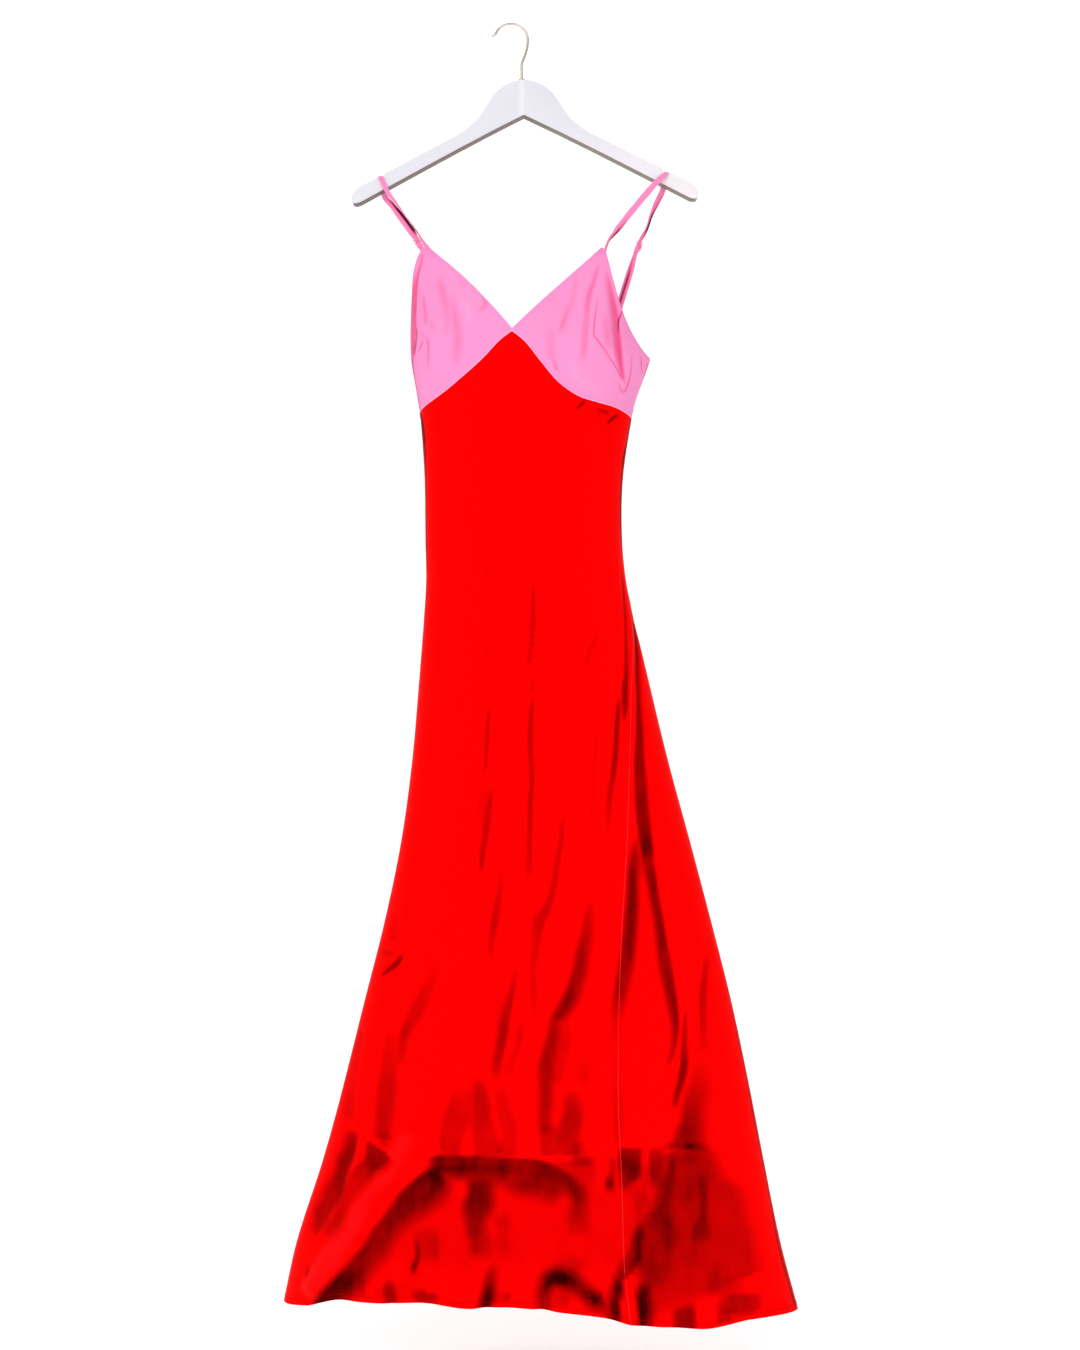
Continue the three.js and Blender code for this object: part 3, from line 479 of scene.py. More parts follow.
LOWER_FOLDS = (
    # Broad soft shade over the unlined cloth.
    Fold(0, (50, 34), "-190 1520 40 8, -60 1524 50 8, 60 1520 50 7, 200 1520 60 9, 270 1540 50 8",
         ends=60),
    Fold(0, (40, 60), "-150 1360 30 5, 0 1370 30 5, 150 1360 30 4", ends=60),
    Fold(0, (10, 12), "-156 1404 5 16, -157 1428 7 20", ends=(10, 6)),
    Fold(0, 5, "186 1421 2 10, 200 1422 4 16, 222 1422 4 14, 244 1422 4 8", ends=(8, 12)),
    Fold(0, (14, 4), "-104 1450 5 16, -70 1452 8 18, -40 1446 6 8, 10 1446 7 10", ends=(10, 20)),
    Fold(0, (18, 6), "178 1440 5 10, 204 1436 8 20, 228 1430 10 20, 248 1434 8 10", ends=14),
    Fold(0, 12, "-22 1578 6 12, -18 1600 8 14, 2 1604 7 12"),
    Fold(0, 12, "-176 1534 7 12, -190 1552 8 12"),
    Fold(0, 14, "236 1596 8 10, 264 1602 9 14, 300 1606 9 10"),
    Fold(0, 12, "90 1606 6 10, 118 1602 8 14", ends=12),
    Fold(0, (22, 8), "30 1450 8 5, 60 1448 12 16, 90 1450 13 17, 116 1452 10 10", ends=(20, 16)),
    Fold(0, (16, 14), "-60 1460 8 12, -20 1464 9 14, 30 1464 8 10, 80 1472 10 13, 104 1484 9 6"),
    Fold(0, (16, 10), "140 1452 9 8, 164 1456 12 12, 190 1462 10 10", ends=14),
    Fold(0, 18, "200 1500 8 8, 204 1530 10 12, 196 1556 9 6"),
    Fold(0, 14, "-244 1500 8 8, -238 1524 10 12, -232 1546 8 8"),
    Fold(0, 14, "-14 1516 7 12, -8 1536 8 10, -4 1560 6 4"),
    Fold(0, (16, 14), "50 1562 7 6, 78 1562 10 12, 96 1574 8 6"),
    Fold(0, 14, "-126 1556 9 8, -112 1580 9 5, -140 1602 9 8, -176 1602 8 10"),
    Fold(0, 14, "46 1606 7 10, 64 1604 8 16, 84 1606 7 8"),
    # The deep fold that runs down to the left, and its neighbours.
    Fold(-8, (10, 29), "-84 1450 15 46, -92 1464 18 56, -106 1478 19 52, -123 1492 17 48, "
         "-137 1507 14 47, -150 1522 12.4 50, -161 1537 13 50, -168 1552 13.4 48, -181 1567 13.6 47, "
         "-192 1582 14.4 53, -202 1593 14 60, -212 1604 14 64, -226 1620 14 60, -240 1640 14 56",
         ends=(13, 3)),
    Fold(9, 16, "-118 1396 8 -2, -152 1456 10 -3, -184 1506 11 -3, -220 1562 11 -3, -256 1622 10 -2"),
    Fold(-3, (16, 10), "-195 1404 6 12, -201 1425 8 34, -204 1438 8.4 40, -210 1452 9 42, "
         "-214 1466 8.4 40, -220 1480 10 37, -226 1493 11 34, -233 1507 10 33, -240 1521 10 28, "
         "-247 1536 7 20, -253 1552 5 6"),
    Fold(-0.1, (10, 16), "-160 1427 15 30, -162 1431 18 38, -166 1439 16 40, -174 1450 11 40, "
         "-185 1463 12 26, -195 1476 12 20, -206 1491 10 20, -211 1506 9 20, -216 1521 8 27, "
         "-226 1536 7 18, -236 1552 7 7", ends=(3, 19)),
    Fold(-0.8, 10, "-172 1600 10 16, -196 1604 12 16"),
    Fold(-0.4, 3, "-253 1578 2 8, -255 1590 3 20, -259 1602 2.4 14", ends=10),
    # The shade under the lining's lower edge.
    Fold(-1.4, (26, 6), "-106 1443 8 36, -88 1445 14 56, -68 1444 13.6 52, -40 1444 13.4 51, "
         "-10 1445 14 46, 10 1446 14 46, 30 1448 15 52, 48 1452 14 49, 60 1457 12 40, 72 1462 10 32, "
         "88 1466 9 30", ends=(13, 16)),
    Fold(-1, (16, 10), "-10 1468 6 12, 12 1469 9 24, 34 1472 9 20, 52 1477 9 24, 68 1480 8 20"),
    Fold(-0.8, (8, 5), "72 1434 5 26, 92 1435 6 32, 110 1437 5 24", ends=13),
    Fold(-1.4, (13, 16), "84 1454 8 24, 85 1482 9 34, 84 1499 11 32, 85 1513 12 20, 88 1534 13 6"),
    Fold(-0.2, (8, 10), "150 1418 15 26, 149 1433 14 43, 149 1450 14 43, 144 1464 7 38, 147 1480 8 14",
         ends=(5, 16)),
    Fold(-0.2, (8, 12), "182 1418 9 20, 182 1434 9 35, 183 1450 10 37, 187 1465 10 26, 190 1480 10 12",
         ends=(10, 16)),
    Fold(-0.5, 5, "127 1426 4 20, 127 1450 5 28, 125 1464 6 42, 123 1480 6 20", ends=(10, 16)),
    Fold(-0.8, 12, "158 1464 9 13, 163 1488 10 15, 170 1506 12 18"),
    # The shade to the right of the seam.
    Fold(-1.6, (21, 29), "224 1414 24 12, 226 1434 28 32, 228 1450 33 30, 230 1474 42 27, 234 1500 62 22, "
         "231 1526 72 22, 232 1552 76 23, 237 1580 76 23, 238 1600 76 20, 244 1620 66 8", ends=(32, 22)),
    Fold(-1, 8, "201 1416 4 6, 201 1434 5 16, 201 1451 5 28, 199 1468 6 20, 197 1488 8 8"),
    Fold(-1.4, 13, "185 1460 7 6, 190 1480 11 20, 189 1500 15 18, 185 1526 18 14, 187 1551 17 18, "
         "181 1577 15 16, 176 1600 10 10"),
    Fold(-1.4, 10, "237 1452 5 8, 241 1474 6 22, 242 1494 5.6 28, 241 1512 6 22, 239 1533 12 20, "
         "238 1550 10 5"),
    Fold(-1, (4, 9), "160 1512 4 12, 159 1535 6 8, 161 1552 6 16, 156 1567 6 24, 148 1578 5 16"),
    Fold(-0.4, 10, "246 1572 8 4, 253 1582 9 9, 252 1598 12 7"),
    # The unlined cloth above the hem.
    Fold(-2.4, (13, 17), "-38 1452 12 34, -37 1466 14 42, -36 1482 17 42, -40 1495 18 40, "
         "-42 1509 13.4 37, -40 1522 12 35, -35 1534 12 25, -36 1547 13 22, -38 1562 8 6"),
    Fold(-0.6, 12, "-14 1494 8 10, -8 1510 9 14, -4 1528 9 8"),
    Fold(-4, (10, 13), "-19 1556 5 10, -20 1569 6 22, -23 1581 7 42, -25 1592 7.6 52, -27 1602 8 60, "
         "-30 1612 8 58, -35 1630 8 50", ends=(16, 3)),
    Fold(-0.6, 5, "-12 1600 5 16, 6 1602 5 26", ends=10),
    Fold(-0.8, 4, "-117 1530 2.6 22, -113 1554 3.4 36, -118 1570 3.4 34, -118 1582 3 14", ends=(13, 10)),
    Fold(-0.8, 10, "-104 1514 13 5, -102 1536 15 15, -100 1552 13 16, -98 1570 8 7"),
    Fold(-1, (8, 9), "-146 1582 5 14, -149 1598 7 30, -147 1610 7.4 33, -146 1624 7 28", ends=(10, 3)),
    Fold(-0.6, 8, "-118 1592 5 12, -112 1602 8 32, -100 1606 7 30, -84 1600 4 22", ends=10),
    Fold(-8, (17, 23), "43 1640 5 50, 43 1612 6 54, 43 1597 7 62, 50 1583 10 70, 62 1579 12 72, "
         "75 1583 11 66, 87 1592 9 54, 99 1602 9 58, 111 1610 9.4 66, 124 1611 9.4 64", ends=(3, 16)),
    Fold(-1, 10, "60 1604 5 22, 76 1606 6 22"),
    Fold(-3, (4, 12), "127 1650 7 46, 129 1620 8 58, 131 1606 8 58, 133 1592 7 58, 137 1579 6.6 42, "
         "146 1566 9 32, 155 1552 9 28, 158 1538 7 26, 161 1521 6 22, 163 1500 4 10", ends=(3, 32)),
    Fold(-5, (8, 20), "166 1580 5 24, 166 1592 7 40, 166 1602 8 54, 166 1612 8 62, 167 1624 8.4 67, "
         "166 1660 8 66", ends=(16, 3)),
    Fold(-0.8, 10, "214 1612 11 14, 217 1626 13 42, 218 1660 13 44", ends=(13, 3)),
    Fold(-0.6, 10, "258 1608 8 10, 270 1620 11 26, 296 1624 12 28, 322 1622 8 22"),
    Fold(-0.6, 8, "265 1618 7 14, 268 1644 9 30", ends=(13, 3)),
)

PUCKERS = (
    Fold(-1.2, 4, "96 493 1.2 30, 91 498 2 44, 86 503 1.8 28, 78 509 1.2 12", ends=(3, 8)),
    Fold(-0.8, (3, 5), "104 503 1.2 10, 112 505 1.8 26, 120 506.5 2 34, 127 509 1.4 20", ends=6),
    Fold(-1.2, (3, 4), "139 507 0.8 20, 134 510 1.4 42, 129 514 1.8 46, 125 518 1.6 44, 120 524 1 26",
         ends=(4, 6)),
)

# Painted shade along the sides, where the cloth turns away from the light.
SIDE_SHADES = (
    Fold(0, (3, 40), "250 1130 1 10, 273 1210 1.4 16, 289 1292 1.6 20, 300 1338 1.8 24, 310 1395 2 26, "
         "318 1432 2 28, 331 1499 2 28, 341 1556 2.2 30, 352 1598 2.6 32, 366 1645 3 32", ends=(60, 3)),
    Fold(0, (2.4, 40), "157 500 2.2 80, 150 540 2.2 76, 143.6 570 1.6 64, 141.3 635 1.6 60, "
         "145.3 692 1.4 40, 151 724 1.2 30", ends=(4, 20)),
    Fold(0, (40, 2.4), "-115 500 1.4 76, -110 530 1.6 70, -108 571 1.2 40, -107.5 635 1 30, "
         "-107 710 1.2 34, -112 790 1 20", ends=(4, 40)),
)

FRONT_DRAPE = Drape((*UPPER_FOLDS, *MIDDLE_FOLDS, *LOWER_FOLDS, *PUCKERS, *SIDE_SHADES))

# The back's folds, with painted shade and painted highlights as in the front's.
BACK_DRAPE = Drape((
    Fold(-0.8, 5, "-22 640 1.2 10, -24 700 2 22, -23 760 2 18, -26 830 1.6 20", ends=30),
    Fold(-1.2, (6, 5), "34 770 1.4 12, 38 850 2.2 24, 37 930 2.4 26, 42 1010 2.8 22, 50 1070 2 16",
         ends=(30, 40)),
    Fold(-1.6, (7, 5), "66 850 1.6 20, 72 930 2.6 30, 82 1010 3.4 34, 88 1090 3.6 30, 90 1170 2.6 16",
         ends=(50, 40)),
    Fold(-3.4, (10, 6), "-20 940 2 14, -24 1030 3.4 34, -28 1130 5 44, -36 1230 6 42, -40 1320 5 34, "
         "-47 1400 4 20", ends=(90, 60)),
    Fold(5, (26, 22), "-46 1080 10 -3, -60 1300 14 -5, -78 1660 20 -5", ends=(160, 5)),
    Fold(-4.4, (9, 16), "34 1100 2 20, 40 1190 4 40, 50 1290 6 46, 52 1370 7 40, 60 1460 8 44, "
         "54 1550 7 36, 62 1660 9 42", ends=(80, 4)),
    Fold(-4.4, (16, 9), "110 1120 2 14, 124 1200 4 36, 142 1300 6 44, 150 1390 7 36, 166 1490 8 42, "
         "170 1570 9 36, 184 1660 9 40", ends=(80, 4)),
    Fold(-3.6, (11, 16), "-98 1130 2 12, -112 1220 4 34, -134 1320 6 42, -142 1400 6 30, -160 1500 7 38, "
         "-168 1580 8 34, -184 1660 9 40", ends=(80, 4)),
    Fold(5, (26, 24), "88 1180 10 -4, 100 1400 14 -5, 116 1660 18 -5", ends=(140, 5)),
    Fold(-2, (16, 12), "-210 1330 3 10, -222 1420 5 24, -236 1520 6 22, -250 1620 6 16", ends=(60, 20)),
    Fold(-2, (12, 16), "220 1390 3 10, 234 1470 5 26, 246 1560 6 24, 258 1640 6 18", ends=(60, 16)),
    # The shade under the lining's lower edge, and the unlined cloth below it.
    Fold(-1.6, (26, 5), "-196 1436 3 12, -150 1438 5 26, -90 1440 7 40, -30 1440 8 36, 30 1442 8 44, "
         "80 1441 8 36, 130 1438 6 26, 176 1436 4 14", ends=(24, 30)),
    Fold(0, (60, 44), "-190 1530 30 8, -60 1530 40 9, 80 1530 40 8, 200 1530 30 10", ends=50),
    Fold(-1, (18, 20), "150 1474 6 12, 176 1520 12 22, 196 1566 14 20, 204 1610 12 12", ends=(20, 14)),
    Fold(-1, (20, 18), "-104 1470 6 10, -122 1520 12 20, -128 1570 12 18, -122 1614 9 10", ends=(20, 14)),
    Fold(-2.2, (9, 14), "-6 1500 3 10, -2 1550 5 26, 6 1600 6 36, 4 1660 7 42", ends=(30, 4)),
    Fold(-0.8, (6, 8), "104 1560 3 10, 110 1600 4 28, 108 1660 5 34", ends=(14, 4)),
    Fold(-0.8, (8, 6), "-78 1590 3 12, -84 1620 4 28, -82 1660 5 34", ends=(14, 4)),
    Fold(-1.2, 7, "-112 556 1.2 16, -100 596 2.2 28, -93 648 1.4 12", ends=(16, 20)),
    Fold(-1, 7, "128 540 1.2 14, 115 586 2 26, 111 640 1.4 12", ends=(16, 20)),
    Fold(-0.6, 6, "8 524 1.2 10, 5 560 1.8 18, 8 604 1.2 8", ends=(12, 16)),
))

# The bodice's folds, with painted shade in percent as in the skirt's, and painted highlights below nothing.
BODICE_DRAPE = Drape((
    # The right cup: streaks from its tip, its dart, and the deep fold beside the armhole.
    Fold(-0.6, (6, 5), "112 322 1.6 10, 108 336 2 20, 104 350 2.4 28, 100 362 3 28, 97 377 3.2 22, "
         "96 392 3.4 18, 94 408 4 17, 93 424 4 17, 92 438 4 14, 90 456 3 8", ends=(8, 16)),
    Fold(-0.6, 8, "76 374 2 8, 71 390 2.4 18, 66 406 2.6 22, 60 424 2 8", ends=(14, 16)),
    Fold(-0.4, (14, 12), "52 404 3 10, 51 430 4 14, 53 452 4 16", ends=(18, 10)),
    Fold(-0.4, 5, "53 444 1.6 10, 57 455 2 24, 59 464 1.6 16", ends=(8, 4)),
    Fold(-0.3, 9, "86 330 1.6 6, 80 360 2 13, 76 396 2 10", ends=20),
    Fold(-0.2, 10, "42 372 3 8, 60 376 4 10", ends=14),
    Fold(-0.3, (9, 4), "118 384 3 5, 120 410 4 12, 123 436 3 14", ends=(16, 10)),
    Fold(-0.2, 1.5, "110 366 0.5 30, 107 386 0.6 42, 105 402 0.7 52, 103.6 419 0.7 52", ends=(8, 1)),
    Fold(-0.2, 1.5, "103.6 419 0.7 60, 112 428 0.7 62, 122 440 0.7 62, 130 450 0.7 60, 137 459 0.7 55, "
         "143 467 0.6 40, 148 471 0.6 30", ends=(1, 4)),
    Fold(-0.2, 1.5, "153 432 0.5 22, 152.5 450 0.6 40, 150.5 462 0.7 50, 147 474 0.7 52, 143 480 0.8 50, "
         "139 477 0.8 40, 136 469 0.6 30", ends=(8, 4)),
    Fold(-2.2, (12, 4), "121 326 1.2 16, 124 345 2.4 26, 127 362 3.6 34, 129.6 378 4.4 42, "
         "131.8 395 5 46, 133.4 412 5 48, 135.6 430 4.6 52, 138.4 446 3.6 54, 141.6 458 2.6 50, "
         "145 468 1.6 26", ends=(20, 8)),
    Fold(-0.4, 1.4, "141 380 0.6 60, 137.6 390 0.7 80, 136 400 0.7 70, 135.6 416 0.6 40", ends=(4, 8)),
    Fold(-0.3, 1.6, "165.5 432 0.6 40, 166 445 0.7 50, 168 455 0.6 35", ends=4),
    Fold(-0.1, 8, "108 352 2 -12, 106 372 2 -10", ends=14),
    Fold(-0.1, 14, "74 440 3 -6, 84 470 4 -8, 118 486 4 -8", ends=20),
    # The left cup: the fold along its side, the creased dart point and streaks.
    Fold(-1, (8, 2), "-109.5 304 0.8 40, -112 318 1 44, -116.6 330 2 42, -120.6 345 4 44, "
         "-122.6 362 5 47, -123 380 5.2 48, -122.6 402 5.2 50, -122.4 420 4.4 54, -123 436 2.4 60",
         ends=(3, 8)),
    Fold(-0.4, (3, 4), "-124.4 428 1 66, -124 445 1.4 66, -122.6 460 1.5 62, -120 476 1.5 60, "
         "-117 492 1.5 62, -115 508 1.6 70", ends=(8, 3)),
    Fold(-0.2, (1.6, 6), "177 434 0.8 50, 171 455 0.9 62, 163 480 0.9 64, 155 505 1 66", ends=(8, 3)),
    Fold(-0.4, (1.2, 1.6), "-117.4 398 0.6 50, -116.6 406 1 68, -117.4 416 0.8 56, -119.4 428 0.6 50",
         ends=(4, 6)),
    Fold(-0.4, 1.8, "-113 405 0.6 14, -109 411 0.8 24, -105 416 0.7 20", ends=(4, 3)),
    Fold(-0.5, 1.4, "-107 416 0.5 45, -111 423 0.7 62, -115.6 431 0.5 45", ends=(4, 3)),
    Fold(-0.5, 3, "-105 412 0.8 24, -102 420 1.4 30, -101.6 432 1.4 26, -103 458 1.2 12", ends=(4, 14)),
    Fold(-0.4, 5, "-109 354 1.4 12, -107.6 372 2 20, -105 390 2 20, -104 402 2 22", ends=(10, 8)),
    Fold(-0.3, 7, "-99 392 2 8, -96 402 2 12, -94 412 2 6", ends=8),
    Fold(-0.6, 10, "-90 332 2 10, -86 350 4 18, -81 372 4 16, -78 394 3 13, -77 424 3 10", ends=(18, 24)),
    Fold(-0.5, 12, "-73 356 1.4 8, -69 384 3 16, -65 408 4 18, -64 430 5 16, -68 462 4 10", ends=(20, 24)),
    Fold(-0.3, 8, "-60 344 3 14, -54 360 3 13", ends=12),
    Fold(-0.3, 6, "-32 362 2 14, -30 380 3 15, -40 390 2 10", ends=8),
    Fold(-0.1, 14, "-68 362 2 -8, -52 384 4 -12, -46 412 4 -8", ends=20),
    Fold(-0.1, 12, "-26 392 3 -8, -14 404 3 -10", ends=(12, 8)),
    Fold(-0.1, 10, "-110 448 2 -6, -108 492 3 -8", ends=(20, 12)),
))
BODICE_BACK_DRAPE = Drape((
    Fold(-1, 8, "-70 450 2 28, -62 480 4 28, -66 508 3 28", ends=(12, 3)),
    Fold(-0.8, 6.4, "40 456 2 26, 46 484 3 26, 42 510 2.4 26", ends=(12, 3)),
    Fold(-0.8, 6.4, "112 444 2 24, 104 476 3 24, 108 504 2.4 24", ends=(12, 3)),
    Fold(-0.6, 4.8, "-10 462 1.6 20, -4 502 2 20", ends=(12, 8)),
))


# ---- Cloth as grids ----


def new_piece(name: str, places: Array, faces: Iterable[Sequence[int]]) -> bpy.types.Object:
    """Makes a smoothed mesh piece at the origin.

    Args:
        name: its name.
        places: its vertices, in millimetres.
        faces: its faces, as numbers of vertices.

    Returns:
        The piece.
    """
    mesh = bpy.data.meshes.new(name)
    mesh.from_pydata((np.asarray(places) * MM).tolist(), [], faces)
    mesh.update()
    piece = bpy.data.objects.new(name, mesh)
    bpy.context.scene.collection.objects.link(piece)
    smooth(piece)
    return piece


def smooth(piece: bpy.types.Object) -> None:
    """Smooths a piece's shading except over its sharp edges.

    Args:
        piece: the piece.
    """
    bpy.ops.object.select_all(action="DESELECT")
    piece.select_set(True)
    bpy.context.view_layer.objects.active = piece
    bpy.ops.object.shade_smooth_by_angle(angle=SMOOTH_ANGLE)
    piece.select_set(False)


def set_painted_shade(piece: bpy.types.Object, dark: Array) -> None:
    """Keeps the shade painted into a piece's colour at each vertex, for its material."""
    layer = piece.data.attributes.new("dark", "FLOAT", "POINT")
    layer.data.foreach_set("value", np.asarray(dark, np.float32).ravel())


def set_cut(piece: bpy.types.Object, cut: Array) -> None:
    """Keeps where each vertex lies on the flat cut, in metres, as the piece's UV map.

    Args:
        piece: the piece.
        cut: each vertex's place on the cut, in millimetres.
    """
    corners = np.zeros(len(piece.data.loops), np.int32)
    piece.data.loops.foreach_get("vertex_index", corners)
    layer = piece.data.uv_layers.new(name="cut")
    layer.data.foreach_set("uv", (cut.reshape(-1, 2)[corners] * MM).astype(np.float32).ravel())


@dataclass
class Sheet:
    """Cloth as a grid of places: rows run down, columns from the right over the front."""

    places: Array
    # The shade painted into the cloth's colour at each place.
    dark: Array

    PAINTED_SHADE_CURVE = 2.2  # steepens how the painted shade darkens the cloth

    def normals(self) -> Array:
        """The way out of the cloth at each place."""
        down, across = np.gradient(self.places, axis=(0, 1))
        out = np.cross(across, down)
        return out / np.maximum(np.linalg.norm(out, axis=-1, keepdims=True), 1e-9)

    def area(self) -> float:
        """The cloth's area on one side, in square metres."""
        a, b = self.places[:-1, :-1], self.places[:-1, 1:]
        c, d = self.places[1:, 1:], self.places[1:, :-1]
        return float(np.linalg.norm(np.cross(c - a, d - b), axis=-1).sum() / 2 * MM * MM)

    def cut(self) -> Array:
        """Each place's distances along the cloth, across from the middle and down."""
        across = np.linalg.norm(np.diff(self.places, axis=1), axis=-1)
        from_edge = np.pad(np.cumsum(across, axis=1), ((0, 0), (1, 0)))
        middle = from_edge[:, [from_edge.shape[1] // 2]]
        return np.stack([from_edge - middle, self.places[..., 2]], axis=-1)

    def build(self, name: str, thick: float) -> bpy.types.Object:
        """The sheet as a closed wall, its inner skin half as fine.

        Args:
            name: the piece's name.
            thick: the wall's thickness.

        Returns:
            The piece.
        """
        rows, columns = self.places.shape[:2]
        out = self.normals() * thick / 2
        outer = np.arange(rows * columns).reshape(rows, columns)
        inner = rows * columns + np.arange((rows // 2 + 1) * (columns // 2 + 1))
        inner = inner.reshape(rows // 2 + 1, columns // 2 + 1)
        faces = _quads(outer[:-1, :-1], outer[:-1, 1:], outer[1:, 1:], outer[1:, :-1]).tolist()
        faces += _quads(inner[:-1, :-1], inner[1:, :-1], inner[1:, 1:], inner[:-1, 1:]).tolist()
        faces += _rim(outer[0], inner[0]) + _rim(outer[-1, ::-1], inner[-1, ::-1])
        faces += _rim(outer[::-1, 0], inner[::-1, 0]) + _rim(outer[:, -1], inner[:, -1])
        skins = [(self.places + out).reshape(-1, 3), (self.places - out)[::2, ::2].reshape(-1, 3)]
        piece = new_piece(name, np.vstack(skins), faces)
        cut = self.cut()
        # The painted shade, steepened, is kept at the vertices of both skins.
        deep = 1.0 - np.maximum(1.0 - self.dark, 0.0) ** self.PAINTED_SHADE_CURVE
        set_painted_shade(piece, np.concatenate([deep.ravel(), deep[::2, ::2].ravel()]))
        set_cut(piece, np.vstack([cut.reshape(-1, 2), cut[::2, ::2].reshape(-1, 2)]))
        return piece


def _rim(outer: Array, inner: Array) -> list[list[int]]:
    """Faces from an edge of the outer skin to the edge of the inner one, which is half as fine."""
    a, b, c = outer[:-1:2], outer[1::2], outer[2::2]
    d, e = inner[:-1], inner[1:]
    return np.vstack([_quads(b, a, d), _quads(b, d, e), _quads(b, e, c)]).tolist()


def _quads(*corners: Array) -> Array:
    """Faces from as many grids of vertex numbers as they have corners."""
    return np.stack([corner.ravel() for corner in corners], axis=-1)


FACING = 1.6  # how sharply the front's creases give way to the back's at the sides


def draped(angle: Array, z: Array, out: Any, front: Drape, back: Drape) -> Sheet:
    """Cloth on its form, with the creases of the front and of the back, and their painted shade.

    Args:
        angle: degrees round the form of each place of the grid.
        z: its height.
        out: how far the cloth stands out of the form there.
        front: the creases of what faces forward.
        back: the creases of what faces backward.

    Returns:
        The cloth.
    """
    places = section_place(SECTIONS, angle, z, out)
    outward = section_place(SECTIONS, angle, z, out + 1.0) - places
    x = places[..., 0]
    facing = -outward[..., 1]
    rise, light = np.zeros_like(x), np.zeros_like(x)
    for drape, way in ((front, FACING), (back, -FACING)):
        share = ease(0.5 + way * facing)
        some_rise, some_light = drape.relief(x, places[..., 2])
        rise += some_rise * share
        light += some_light * share
    return Sheet(places + outward * rise[..., None], 1.0 - light)


# ---- Finishes ----


class Sock:
    """A shader value that Python's own operators work on, by adding Math nodes."""

    def __init__(self, shader: "Shader", socket: bpy.types.NodeSocket) -> None:
        """Wraps the output socket of a node."""
        self.shader = shader
        self.socket = socket

    def _math(self, operation: str, first: Any, second: Any) -> "Sock":
        """A Math node on two values."""
        return self.shader.node("ShaderNodeMath", {"operation": operation}, {0: first, 1: second})

    def __add__(self, other: Any) -> "Sock":
        """self + other."""
        return self._math("ADD", self, other)

    def __sub__(self, other: Any) -> "Sock":
        """self - other."""
        return self._math("SUBTRACT", self, other)

    def __rsub__(self, other: Any) -> "Sock":
        """other - self."""
        return self._math("SUBTRACT", other, self)

    def __mul__(self, other: Any) -> "Sock":
        """self * other."""
        return self._math("MULTIPLY", self, other)

    __radd__ = __add__

    def clamped(self, low: float = 0.0, high: float = 1.0) -> "Sock":
        """self, kept between two numbers."""
        return self._math("MINIMUM", self._math("MAXIMUM", self, low), high)


Colour = tuple[float, float, float]


class Shader:
    """A material that is being made."""

    def __init__(self, name: str) -> None:
        """Starts the material with a Principled shader.

        Args:
            name: the material's name.
        """
        self.material = bpy.data.materials.new(name)
        self.material.use_nodes = True
        self.tree = self.material.node_tree
        self.surface = self.tree.nodes["Principled BSDF"]

    def node(self, kind: str, settings: dict, inputs: dict, out: Any = 0) -> Sock:
        """Adds a node.

        Args:
            kind: its type.
            settings: its own settings by name, set first.
            inputs: the numbers, colours or links of its sockets, by name or number.
            out: the socket that is wanted.

        Returns:
            The wanted output.
        """
        made = self.tree.nodes.new(kind)
        for key, value in settings.items():
            setattr(made, key, value)
        self.feed(made, inputs)
        return Sock(self, made.outputs[out])

    def feed(self, node: bpy.types.Node, inputs: dict) -> None:
        """Sets or links sockets of a node.

        Args:
            node: the node.
            inputs: the numbers, colours or links of its sockets, by name or number.
        """
        for key, value in inputs.items():
            if isinstance(value, Sock):
                self.tree.links.new(value.socket, node.inputs[key])
            else:
                node.inputs[key].default_value = value

    def principled(self, inputs: dict) -> None:
        """Sets or links sockets of the surface itself."""
        self.feed(self.surface, inputs)

    def attribute(self, name: str) -> Sock:
        """A number that the piece keeps at its vertices."""
        settings = {"attribute_type": "GEOMETRY", "attribute_name": name}
        return self.node("ShaderNodeAttribute", settings, {}, "Fac")

    def cut(self, scale: Colour, turn: float = 0.0) -> Sock:
        """Places on the flat cut, in metres, turned and scaled for a pattern.

        Args:
            scale: the size of one unit of the pattern.
            turn: degrees that the pattern is turned.

        Returns:
            The places.
        """
        uv = self.node("ShaderNodeUVMap", {"uv_map": "cut"}, {})
        turned = {"Vector": uv, "Rotation": (0.0, 0.0, math.radians(turn)), "Scale": scale}
        return self.node("ShaderNodeMapping", {"vector_type": "TEXTURE"}, turned)

    def place(self, scale: Colour) -> Sock:
        """Places in the part's frame, scaled for a pattern."""
        place = self.node("ShaderNodeTexCoord", {}, {}, "Object")
        return self.node("ShaderNodeMapping", {}, {"Vector": place, "Scale": scale})

    def across(self) -> Sock:
        """How far across the part a place is, in millimetres."""
        place = self.node("ShaderNodeTexCoord", {}, {}, "Object")
        return self.node("ShaderNodeSeparateXYZ", {}, {"Vector": place}, "X") * 1000.0

    def noise(self, vector: Sock, detail: float = 2.0) -> Sock:
        """Soft noise from 0 to 1, one lump to a unit of vector."""
        inputs = {"Vector": vector, "Scale": 1.0, "Detail": detail}
        return self.node("ShaderNodeTexNoise", {}, inputs, "Fac")

    def mixed(self, factor: Any, first: Any, second: Any) -> Sock:
        """A colour between two others."""
        inputs = {0: factor, 6: _rgba(first), 7: _rgba(second)}
        return self.node("ShaderNodeMix", {"data_type": "RGBA"}, inputs, 2)

    def bumped(self, height: Sock, depth: float, strength: float = 1.0) -> Sock:
        """A normal from a height, where depth is a height of 1 in metres."""
        inputs = {"Height": height, "Distance": depth, "Strength": strength}
        return self.node("ShaderNodeBump", {}, inputs)


def _rgba(colour: Any) -> Any:
    """A colour with its alpha, or a link as it is."""
    return colour if isinstance(colour, Sock) else (*colour, 1.0)


